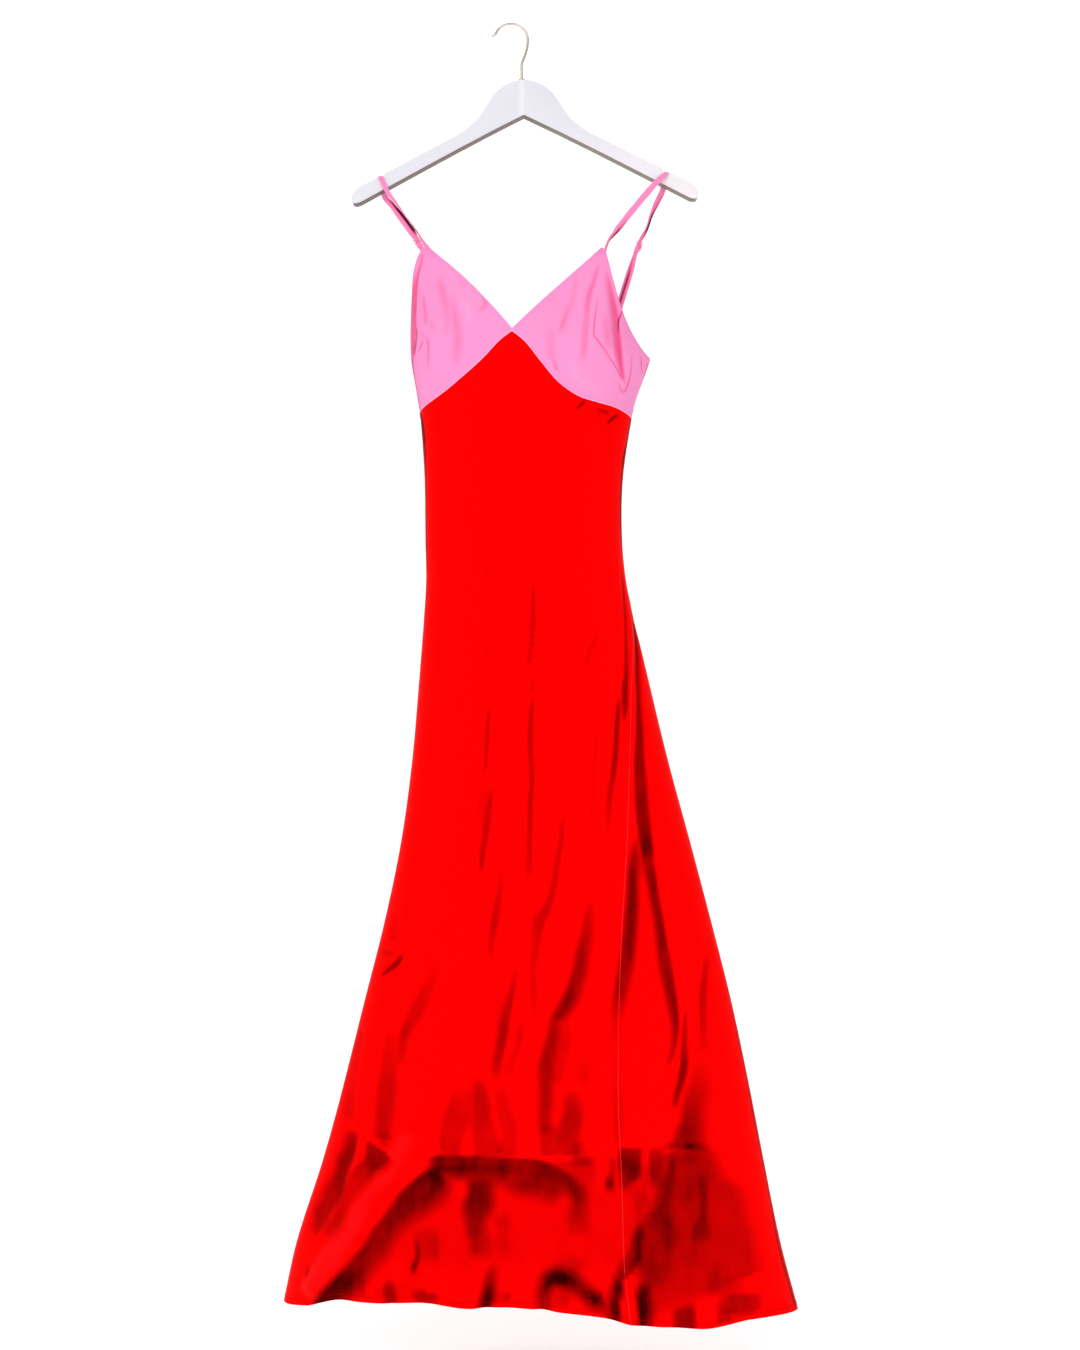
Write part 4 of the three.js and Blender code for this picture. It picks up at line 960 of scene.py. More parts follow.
@dataclass(frozen=True)
class Finish:
    """What a piece is made of, named by its slot."""

    slot: str

    def material(self) -> bpy.types.Material:
        """The material, made the first time that it is asked for."""
        name = self.slot + "_look"
        known = bpy.data.materials.get(name)
        return known or self.make(Shader(name))

    def make(self, shader: Shader) -> bpy.types.Material:
        """Builds the material's nodes."""
        raise NotImplementedError


@dataclass(frozen=True)
class Satin(Finish):
    """Bias-cut satin, with shade painted into its folds that takes them from a bright colour to a deep one.
    """

    bright: Colour
    # deep is the colour of painted shade, line that of the darkest painted shade, pale that of painted
    # highlights
    deep: Colour
    line: Colour
    pale: Colour
    roughness: float
    gloss: Colour
    shine: float

    THREAD = 0.00042
    SLUB = (0.0016, 0.05, 1.0)
    CLOUD = (0.03, 0.09, 1.0)
    PATCHES = (46.0, 46.0, 20.0)
    STREAKS = 0.06  # how much slubs and clouds show
    DARKEST_SHADE = (5.0, 4.0)  # the slope and the start of the near-black painted shade of the darkest creases

    def make(self, shader: Shader) -> bpy.types.Material:
        """Makes a float weave on the bias, slubs along the threads, and the painted shade and highlights of
        the creases.

        Args:
            shader: the material's nodes so far.

        Returns:
            The material.
        """
        threads = shader.cut((self.THREAD, self.THREAD * 4, 1.0), turn=BIAS)
        weave = shader.noise(threads, 1.0)
        slubs = shader.noise(shader.cut(self.SLUB, turn=4.0), 3.0)
        clouds = shader.noise(shader.cut(self.CLOUD, turn=8.0), 2.0)
        uneven = shader.noise(shader.place(self.PATCHES), 3.0)
        # Painted shade from the vertices, made uneven, then near-black painted shade in the darkest creases
        # and painted highlights where it is below nothing
        dark = shader.attribute("dark")
        shade = dark * (0.6 + uneven * 0.8)
        tone = (shade + (slubs - 0.5) * self.STREAKS + (clouds - 0.5) * self.STREAKS).clamped()
        base = shader.mixed(tone, self.bright, self.deep)
        slope, start = self.DARKEST_SHADE
        base = shader.mixed((dark * slope - start).clamped(), base, self.line)
        base = shader.mixed((dark * -1.0).clamped(), base, self.pale)
        height = weave * 0.6 + slubs * 0.4
        shader.principled({
            "Base Color": base,
            "Roughness": (self.roughness + (slubs - 0.5) * 0.1).clamped(),
            "Specular IOR Level": self.shine,
            "Specular Tint": _rgba(self.gloss),
            "Normal": shader.bumped(height, 0.00005, 0.5),
        })
        return shader.material


@dataclass(frozen=True)
class Voile(Finish):
    """The lining's fine plain weave."""

    bright: Colour
    deep: Colour

    THREAD = 0.0005

    def make(self, shader: Shader) -> bpy.types.Material:
        """Makes two sets of threads that cross, in a matt cloth.

        Args:
            shader: the material's nodes so far.

        Returns:
            The material.
        """
        warp = shader.noise(shader.cut((self.THREAD, self.THREAD * 8, 1.0), turn=BIAS), 1.0)
        weft = shader.noise(shader.cut((self.THREAD * 8, self.THREAD, 1.0), turn=BIAS), 1.0)
        height = warp * 0.5 + weft * 0.5
        shader.principled({
            "Base Color": shader.mixed(height, self.deep, self.bright),
            "Roughness": 0.7,
            "Specular IOR Level": 0.15,
            "Normal": shader.bumped(height, 0.00006, 0.5),
        })
        return shader.material


@dataclass(frozen=True)
class CoatedTrim(Finish):
    """Nylon-coated metal, smooth with small wrinkles in the coat."""

    colour: Colour
    wear_and_shade: Colour

    WRINKLES = (700.0, 700.0, 700.0)

    def make(self, shader: Shader) -> bpy.types.Material:
        """Makes a glossy coat with faint mottling.

        Args:
            shader: the material's nodes so far.

        Returns:
            The material.
        """
        mottle = shader.noise(shader.place(self.WRINKLES), 3.0)
        shader.principled({
            "Base Color": shader.mixed((mottle - 0.5) * 1.6, self.colour, self.wear_and_shade),
            "Roughness": 0.22 + mottle * 0.16,
            "Specular IOR Level": 0.4,
            "Normal": shader.bumped(mottle, 0.00008, 0.4),
        })
        return shader.material


@dataclass(frozen=True)
class PaintedWood(Finish):
    """White paint over fine-grained wood, thinner along the grain."""

    paint: Colour
    # Paler paint for the joint's band, also used as painted light on the right arm.
    joint_and_painted_light: Colour
    grain: Colour
    # Painted shade on the underside, and the same shade lighter on the right arm.
    underside_shade: Colour
    wear_and_shade: Colour
    mitre: tuple[float, float] = (8.7, 17.6)

    GRAIN = (28.0, 300.0, 620.0)
    BLOTCH = (18.0, 18.0, 30.0)
    # Where the painted light on the right arm begins, in millimetres across.
    PAINTED_LIGHT_FROM = 60.0

    def make(self, shader: Shader) -> bpy.types.Material:
        """Makes grain lines along the hanger's arms that show faintly through the paint.

        A paler band runs down the joint of the two arms, the right arm gets painted light, and the
        underside gets painted shade.

        Args:
            shader: the material's nodes so far.

        Returns:
            The material.
        """
        across = shader.across()
        left, right = self.mitre
        band = ((across - left) * 0.2).clamped() * ((right - across) + 0.5).clamped()
        # The joint's paler band, and painted light that grows towards the right arm.
        pale = (band * 0.6 + ((across - self.PAINTED_LIGHT_FROM) * 0.006).clamped()).clamped()
        lines = shader.noise(shader.place(self.GRAIN), 4.0)
        blotch = shader.noise(shader.place(self.BLOTCH), 3.0)
        tone = ((lines - 0.5) * 0.5 + (blotch - 0.5) * 0.5 + 0.2).clamped()
        paint = shader.mixed(tone, shader.mixed(pale, self.paint, self.joint_and_painted_light), self.grain)
        # Painted shade over the underside, lighter on the right arm.
        underside_shade = shader.mixed(((across - right) * 0.02).clamped(), self.underside_shade, self.wear_and_shade)
        shader.principled({
            "Base Color": shader.mixed(shader.attribute("dark"), paint, underside_shade),
            "Roughness": 0.42 + lines * 0.16,
            "Specular IOR Level": 0.4,
            "Normal": shader.bumped(lines, 0.00012, 0.4),
        })
        return shader.material


@dataclass(frozen=True)
class PlatedWire(Finish):
    """Bright plated steel wire with faint draw lines."""

    colour: Colour
    dull: Colour

    SPOTS = (260.0, 260.0, 260.0)

    def make(self, shader: Shader) -> bpy.types.Material:
        """Makes draw marks and small dull spots in the plating.

        Args:
            shader: the material's nodes so far.

        Returns:
            The material.
        """
        spots = shader.noise(shader.place(self.SPOTS), 4.0)
        shader.principled({
            "Base Color": shader.mixed((spots - 0.35).clamped(), self.colour, self.dull),
            "Metallic": 1.0,
            "Roughness": 0.18 + spots * 0.2,
            "Normal": shader.bumped(spots, 0.00006, 0.3),
        })
        return shader.material


# Each satin's deep and line colours are painted shade, and its pale colour is a painted highlight.
PINK = Satin(
    "pink_satin",
    bright=(0.94, 0.295, 0.595), deep=(0.88, 0.05, 0.18), line=(0.10, 0.008, 0.025),
    pale=(0.95, 0.46, 0.76),
    roughness=0.5, gloss=(1.0, 0.45, 0.7), shine=0.15,
)
STRAP_PINK = Satin(
    "strap_satin",
    bright=(0.93, 0.25, 0.50), deep=(0.6, 0.03, 0.09), line=(0.035, 0.002, 0.006),
    pale=(0.95, 0.42, 0.70),
    roughness=0.46, gloss=(1.0, 0.45, 0.7), shine=0.15,
)
RED = Satin(
    "red_satin",
    bright=(1.0, 0.0003, 0.0006), deep=(0.004, 0.0, 0.0), line=(0.004, 0.0, 0.0),
    pale=(1.0, 0.05, 0.07),
    roughness=0.5, gloss=(1.0, 0.02, 0.02), shine=0.02,
)
LINING = Voile("red_lining", bright=(0.72, 0.002, 0.002), deep=(0.5, 0.0, 0.0))
TRIM = CoatedTrim("coated_trim", colour=(0.93, 0.30, 0.56), wear_and_shade=(0.97, 0.62, 0.78))
# The second colour is also painted light on the right arm, and the last two are painted shade on the
# underside.
WOOD = PaintedWood("painted_wood", paint=(0.76, 0.755, 0.82), joint_and_painted_light=(0.93, 0.88, 0.90),
                   grain=(0.68, 0.67, 0.74), underside_shade=(0.15, 0.12, 0.10), wear_and_shade=(0.22, 0.19, 0.15))
WIRE = PlatedWire("hook_wire", colour=(0.66, 0.59, 0.52), dull=(0.36, 0.32, 0.29))


def dress(piece: bpy.types.Object, finish: Finish, *nodes: str) -> bpy.types.Object:
    """Gives a finished piece its material and hangs it on the part.

    Args:
        piece: the piece, in place.
        finish: what it is made of.
        nodes: the CAD nodes that it stands for.

    Returns:
        The same piece.
    """
    piece.data.materials.clear()
    piece.data.materials.append(finish.material())
    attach(piece, ROOT)
    if nodes:
        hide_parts(*nodes)
    log.info("%s: %d faces", piece.name, len(piece.data.polygons))
    return piece


# ---- Tubes, ribbons and stitches ----


def tube_of(name: str, rings: Array) -> bpy.types.Object:
    """A closed piece with flat ends.

    Args:
        name: its name.
        rings: rings of places, one after the other.

    Returns:
        The piece.
    """
    count, around = rings.shape[:2]
    index = np.arange(count * around).reshape(count, around)
    after = np.roll(index, -1, axis=1)
    faces = _quads(index[:-1], after[:-1], after[1:], index[1:]).tolist()
    faces += [index[0, ::-1].tolist(), index[-1].tolist()]
    return new_piece(name, rings.reshape(-1, 3), faces)


def axes_along(route: Array, hint: Array) -> tuple[Array, Array]:
    """A route's axes.

    Args:
        route: places along it.
        hint: a way to keep close to at each place.

    Returns:
        The way across it in the plane of hint, and the way square to both.
    """
    onward = np.gradient(route, axis=0)
    onward /= np.linalg.norm(onward, axis=1, keepdims=True)
    wide = hint - onward * np.sum(hint * onward, axis=1, keepdims=True)
    wide /= np.linalg.norm(wide, axis=1, keepdims=True)
    return wide, np.cross(onward, wide)


ROLL_SIDES = 8


def edge_roll(name: str, line: Array, out: Array, radius: float,
              dark: float | Array = -0.5) -> bpy.types.Object:
    """A rolled edge along a line of the cloth, with painted shade or a painted highlight.

    Args:
        name: the piece's name.
        line: places along the edge.
        out: the way out of the cloth at each place.
        radius: the roll's radius.
        dark: its painted shade, at each place or all along; below nothing, as by default, it is a painted
            highlight.

    Returns:
        The piece.
    """
    wide, face = axes_along(line, out)
    turn = (np.arange(ROLL_SIDES) * 2 * np.pi / ROLL_SIDES)[None, :, None]
    ring = wide[:, None] * np.cos(turn) + face[:, None] * np.sin(turn)
    piece = tube_of(name, line[:, None] + ring * radius)
    set_painted_shade(piece, np.repeat(np.broadcast_to(dark, len(line)), ROLL_SIDES))
    set_cut(piece, np.array([vertex.co[:2] for vertex in piece.data.vertices]) / MM)
    return piece


@dataclass(frozen=True)
class Stitch:
    """A row of straight stitches: each dips into the cloth at both ends."""

    pitch: float  # from one stitch to the next
    thread: float
    dark: float  # how dark the thread is drawn, on the scale of the cloth's painted shade

    REACH = (0.08, 0.74)  # the shares of the pitch where a stitch starts and ends
    RISE = (-0.2, 0.55, 0.55, -0.2)  # how many threads it stands out at its places
    CORNERS = ((1, -1), (1, 1), (-1, 1), (-1, -1))

    def build(self, name: str, line: Array, out: Array) -> bpy.types.Object:
        """Sews the row.

        Args:
            name: the piece's name.
            line: places along the seam, on the cloth's face.
            out: the way out of the cloth at each place.

        Returns:
            The piece.
        """
        gone = distances(line)
        starts = np.arange(self.pitch / 2, gone[-1] - self.pitch, self.pitch)
        count, places_each, sides = len(starts), len(self.RISE), len(self.CORNERS)
        at = starts[:, None] + np.linspace(*self.REACH, places_each)[None] * self.pitch
        places = np.stack([np.interp(at, gone, line[:, i]) for i in range(3)], axis=-1)
        ways = np.stack([np.interp(at, gone, out[:, i]) for i in range(3)], axis=-1)
        onward = places[:, -1:] - places[:, :1]
        onward = onward / np.linalg.norm(onward, axis=-1, keepdims=True)
        wide = np.cross(onward, ways)
        middle = places + ways * (np.array(self.RISE) * self.thread)[None, :, None]
        half = self.thread / 2
        rings = np.stack([middle + wide * w * half + ways * h * half for w, h in self.CORNERS], axis=2)
        index = np.arange(count * places_each * sides).reshape(count, places_each, sides)
        after = np.roll(index, -1, axis=2)
        faces = np.vstack([
            _quads(index[:, :-1], index[:, 1:], after[:, 1:], after[:, :-1]),
            index[:, 0].reshape(-1, sides),
            index[:, -1, ::-1].reshape(-1, sides),
        ])
        piece = new_piece(name, rings.reshape(-1, 3), faces.tolist())
        set_painted_shade(piece, np.full(index.size, self.dark))
        set_cut(piece, np.zeros((index.size, 2)))
        return piece


# ---- Bodice ----


@dataclass(frozen=True)
class CupEdge:
    """A cup's upper edge, as places of angle from the centre front and height."""

    neck: Place
    bow: float
    apex: Place
    corner: Place
    handles: tuple[Place, Place]
    under: Place


@dataclass
class Cup:
    """One cup: cut like a triangle, darted from the side, its edges turned and understitched."""

    side: Side
    edge: CupEdge
    columns: int = 97
    rows: int = 161
    thick: float = 0.9
    roll: float = 0.75
    # Rounded places of the bust: angle, height, rise and reach.
    bulges: tuple[tuple[float, ...], ...] = ((-38.6, -420, 9, 42), (48, -407, 7, 42))
    # Painted highlight on the rolled top edge by the neck, turning to painted shade towards the arm.
    edge_shade: tuple[float, ...] = (-0.5, -0.3, 0.35, 0.5)
    stitch: Stitch = Stitch(2.6, 0.35, 0.15)
    stitch_row: int = 3
    seam_out: float = 0.8
    # Below nothing: a painted highlight along the roll under the bust.
    seam_highlight: float = -1.2

    BUST_RADIUS = 120.0
    SHARES = (0.5, 4 / 7)  # where along the seam the columns of the tip stand

    def top(self) -> tuple[Array, Array, Array]:
        """The cup's upper edge, from the centre front over the tip to the side.

        Returns:
            Its angles from the centre front, its heights and its shares of the seam below.
        """
        t = np.linspace(0.0, 1.0, self.columns)
        neck = np.outer(1 - t, self.edge.neck) + np.outer(t, self.edge.apex)
        neck[:, 1] += self.edge.bow * np.sin(np.pi * t)
        t = np.linspace(0.0, 1.0, 5)[1:-1]
        tip = np.outer(1 - t, self.edge.apex) + np.outer(t, self.edge.corner)
        t = np.linspace(0.0, 1.0, self.columns)
        a, b, c, d = np.array([self.edge.corner, *self.edge.handles, self.edge.under])
        arm = np.outer((1 - t) ** 3, a) + np.outer(3 * t * (1 - t) ** 2, b)
        arm += np.outer(3 * t**2 * (1 - t), c) + np.outer(t**3, d)
        angle, z = np.vstack([neck, tip, arm]).T
        start, end = self.SHARES
        shares = [np.linspace(0, start, len(neck)), np.linspace(start, end, len(tip) + 2)[1:-1],
                  np.linspace(end, 1, len(arm))]
        return angle, z, np.concatenate(shares)

    def sheet(self) -> Sheet:
        """The cup's cloth.

        Returns:
            The cloth, from its upper edge down to the seam under the bust.
        """
        hand = -self.side.value
        edge_angle, edge_z, seam_share = self.top()
        width = 180 * (FRONT_MIDDLE if self.side is Side.RIGHT else 1 - FRONT_MIDDLE)
        share = np.linspace(0.0, 1.0, self.rows)[:, None]
        seam_z = UNDERBUST.at(self.side.word, 90 * seam_share) + SEAM_GAP / 2
        angle = edge_angle * (1 - share) + width * seam_share * share
        z = edge_z * (1 - share) + seam_z * share
        out = np.zeros_like(z)
        for place, height, rise, reach in self.bulges:
            across = np.radians(hand * angle - place) * self.BUST_RADIUS
            far = np.hypot(across, z - height) / reach
            out += rise * np.exp(-(far**2)) * np.sin(np.pi * share)
        grids = [CENTRE_FRONT + hand * angle, z, out]
        if self.side is Side.RIGHT:
            grids = [grid[:, ::-1] for grid in grids]
        return draped(*grids, BODICE_DRAPE, BODICE_BACK_DRAPE)

    def build(self) -> None:
        """The cup, its rolled edges and its row of stitches."""
        sheet = self.sheet()
        name = "cup_" + self.side.word
        cloth = dress(sheet.build(name, self.thick), PINK, name)
        top, out = sheet.places[0], sheet.normals()[0]
        share = np.linspace(0.0, 1.0, len(top))
        share = share if self.side is Side.LEFT else share[::-1]
        dark = np.interp(share, (0.0, *self.SHARES, 1.0), self.edge_shade)
        roll = edge_roll(f"cup_edge_{self.side.word}", top, out, self.roll, dark)
        low_out = sheet.normals()[-1]
        under = sheet.places[-1] + low_out * self.seam_out
        seam = edge_roll(f"underbust_roll_{self.side.word}", under, low_out, self.roll, self.seam_highlight)
        line = sheet.places[self.stitch_row] + out * self.thick / 2
        row = self.stitch.build(f"cup_stitches_{self.side.word}", line, out)
        trims = [dress(piece, PINK) for piece in (roll, seam, row)]
        min(sheet.area(), 0.0389)


@dataclass
class BackBodice:
    """The band across the back, from side seam to side seam."""

    columns: int = 181
    rows: int = 41
    thick: float = 0.9
    roll: float = 0.75

    def build(self) -> None:
        """The band with its rolled top edge."""
        share = np.linspace(0.0, 1.0, self.columns)
        top = BACK_TOP_SIDE + (BACK_TOP_CENTRE - BACK_TOP_SIDE) * np.sin(np.pi * share)
        low = waist_height(Panel.BACK, share) + SEAM_GAP / 2
        down = np.linspace(0.0, 1.0, self.rows)[:, None]
        z = top * (1 - down) + low * down
        angle = panel_angle(Panel.BACK, share[None], z)
        sheet = draped(angle, z, 0.0, BODICE_DRAPE, BODICE_BACK_DRAPE)
        band = dress(sheet.build("back_bodice", self.thick), PINK, "back_bodice")
        # The rolled top edge keeps the roll's painted highlight.
        roll = dress(edge_roll("back_edge", sheet.places[0], sheet.normals()[0], self.roll), PINK)
        min(sheet.area(), 0.026)


# ---- Skirt and lining ----


HALF_TURN_STEPS = 721


def even_shares(columns: int, flatness: float = 3.2) -> Array:
    """Shares of a half section that are about evenly spaced along its line.

    Args:
        columns: how many there are.
        flatness: how many times as wide as deep the section is.

    Returns:
        The shares, from 0 to 1.
    """
    turn = np.linspace(0.0, np.pi, HALF_TURN_STEPS)
    steps = np.hypot(flatness * np.sin(turn), np.cos(turn))
    gone = np.concatenate([[0.0], np.cumsum((steps[1:] + steps[:-1]) / 2)])
    return np.interp(np.linspace(0.0, gone[-1], columns), gone, turn) / np.pi


@dataclass
class SkirtPanel:
    """One of the skirt's two panels, cut on the bias, with a narrow stitched hem."""

    panel: Panel
    flat: tuple[float, float]
    columns: int = 321
    rows: int = 235
    thick: float = 0.7
    seam_roll: float = 0.4
    seam_out: float = 0.2
    stitch: Stitch = Stitch(3.2, 0.5, 0.45)

    # Shares of the rows, and the shares of the length that they reach.
    SPACING = ((0.0, 0.09, 0.43, 1.0), (0.0, 0.05, 0.6, 1.0))

    def sheet(self) -> Sheet:
        """The panel's cloth.

        Returns:
            The cloth, from its seam down to its hem.
        """
        share = even_shares(self.columns)
        hem_angle = np.mod(panel_angle(self.panel, share, HEM_LEVEL), 360.0)
        top = waist_height(self.panel, share) - SEAM_GAP / 2
        hem = HEM.at("z", hem_angle)
        down = np.interp(np.linspace(0.0, 1.0, self.rows), *self.SPACING)[:, None]
        z = top * (1 - down) + hem * down
        angle = panel_angle(self.panel, share[None], z)
        return draped(angle, z, 0.0, FRONT_DRAPE, BACK_DRAPE)

    def build(self) -> None:
        """The panel with its hem's stitching and, in front, the two side seams."""
        name = "skirt_" + self.panel.name.lower()
        sheet = self.sheet()
        cloth = dress(sheet.build(name, self.thick), RED, name)
        out = sheet.normals()
        above = sheet.places[-2] + (sheet.places[-2] - sheet.places[-1])
        row = self.stitch.build(f"hem_stitches_{self.panel.name.lower()}",
                                above + out[-2] * self.thick / 2, out[-2])
        trims = [dress(row, RED)]
        if self.panel is Panel.FRONT:
            for word, column in (("right", 0), ("left", -1)):
                line = sheet.places[::2, column] + out[::2, column] * self.seam_out
                # Each side seam's roll keeps a painted highlight.
                seam = edge_roll("side_seam_" + word, line, out[::2, column], self.seam_roll)
                trims.append(dress(seam, RED))
        min(sheet.area(), self.flat[0] * self.flat[1])


@dataclass
class LiningPanel:
    """One panel of the narrower slip inside the skirt."""

    panel: Panel
    flat: tuple[float, float]
    columns: int = 121
    rows: int = 111
    thick: float = 0.6
    against: float = -1.9
    flatness: float = 2.4

    def build(self) -> None:
        """The panel, sewn in at the top and hanging free below."""
        share = even_shares(self.columns, self.flatness)
        down = np.linspace(0.0, 1.0, self.rows)[:, None]
        top = waist_height(self.panel, share) - SEAM_GAP
        z = top * (1 - down) + LINING_HEM * down
        angle = panel_angle(self.panel, share, top)
        sewn = section_place(SECTIONS, angle, z, self.against)
        free = section_place(LINING_SECTIONS, angle, z)
        leaves = ease(down / LINING_RELEASE)[..., None]
        places = sewn * (1 - leaves) + free * leaves
        sheet = Sheet(places, np.zeros(places.shape[:2]))
        name = "lining_" + self.panel.name.lower()
        cloth = dress(sheet.build(name, self.thick), LINING, name)
        min(sheet.area(), self.flat[0] * self.flat[1])


# ---- Hard pieces, shaped by hand ----


class Bench:
    """A hard piece while it is shaped in edit mode, in millimetres."""

    def __init__(self, name: str, add: Callable[..., Any], **start: Any) -> None:
        """Starts the piece, and leaves it in edit mode.

        Args:
            name: its name.
            add: the operator that adds the primitive it starts from.
            **start: that operator's settings.
        """
        bpy.ops.object.select_all(action="DESELECT")
        add(**start)
        self.piece = bpy.context.object
        self.piece.name = name
        bpy.ops.object.transform_apply(location=True, rotation=True, scale=True)
        bpy.ops.object.mode_set(mode="EDIT")

    def select(self, test: Callable[[Vector, Vector], bool]) -> None:
        """Selects faces.

        Args:
            test: says of a face's middle, in millimetres, and its normal whether it is wanted.
        """
        bpy.ops.mesh.select_mode(type="FACE")
        mesh = bmesh.from_edit_mesh(self.piece.data)
        for face in mesh.faces:
            face.select_set(test(face.calc_center_median() / MM, face.normal))
        bmesh.update_edit_mesh(self.piece.data)

    def extrude(self, x: float, y: float, z: float) -> None:
        """Extrudes the selected faces and moves them."""
        way = Vector((x, y, z)) * MM
        bpy.ops.mesh.extrude_region_move(TRANSFORM_OT_translate={"value": way})

    def resize(self, x: float, y: float, z: float, middle: Sequence[float]) -> None:
        """Resizes what is selected about a place."""
        bpy.ops.transform.resize(value=(x, y, z), center_override=Vector(middle) * MM)

    def spin(self, degrees: float, steps: int, middle: Sequence[float], axis: Colour) -> None:
        """Extrudes what is selected round an axis."""
        turn = math.radians(degrees)
        bpy.ops.mesh.spin(steps=steps, angle=turn, center=Vector(middle) * MM, axis=axis)

    def closed(self) -> "Bench":
        """Merges doubles, turns the faces outward and leaves edit mode.

        Returns:
            The bench itself.
        """
        bpy.ops.mesh.select_all(action="SELECT")
        bpy.ops.mesh.remove_doubles(threshold=0.01 * MM)
        bpy.ops.mesh.normals_make_consistent(inside=False)
        bpy.ops.object.mode_set(mode="OBJECT")
        return self

    def modify(self, kind: str, **settings: Any) -> None:
        """Adds a modifier and applies it.

        Args:
            kind: its type.
            **settings: its settings.
        """
        bpy.context.view_layer.objects.active = self.piece
        modifier = self.piece.modifiers.new(kind.lower(), kind)
        for key, value in settings.items():
            setattr(modifier, key, value)
        bpy.ops.object.modifier_apply(modifier=modifier.name)

    def cut(self, size: Sequence[float], middle: Sequence[float], turns: int = 0) -> None:
        """Cuts a box or an upright round hole out of the piece.

        Args:
            size: the box's size, or the hole's radius twice and its depth.
            middle: the middle of either.
            turns: how many sides a round hole has, or 0 for a box.
        """
        bpy.ops.object.select_all(action="DESELECT")
        if turns:
            bpy.ops.mesh.primitive_cylinder_add(vertices=turns, radius=size[0] * MM, depth=size[2] * MM)
        else:
            bpy.ops.mesh.primitive_cube_add(size=1.0)
            bpy.context.object.scale = Vector(size) * MM
        cutter = bpy.context.object
        cutter.location = Vector(middle) * MM
        bpy.context.view_layer.update()
        self.modify("BOOLEAN", operation="DIFFERENCE", solver="EXACT", object=cutter)
        bpy.data.objects.remove(cutter)

    def placed(self, matrix: Matrix) -> bpy.types.Object:
        """Puts the finished piece in its place, in metres, and smooths it."""
        self.piece.data.transform(matrix)
        smooth(self.piece)
        return self.piece


# ---- Hanger ----


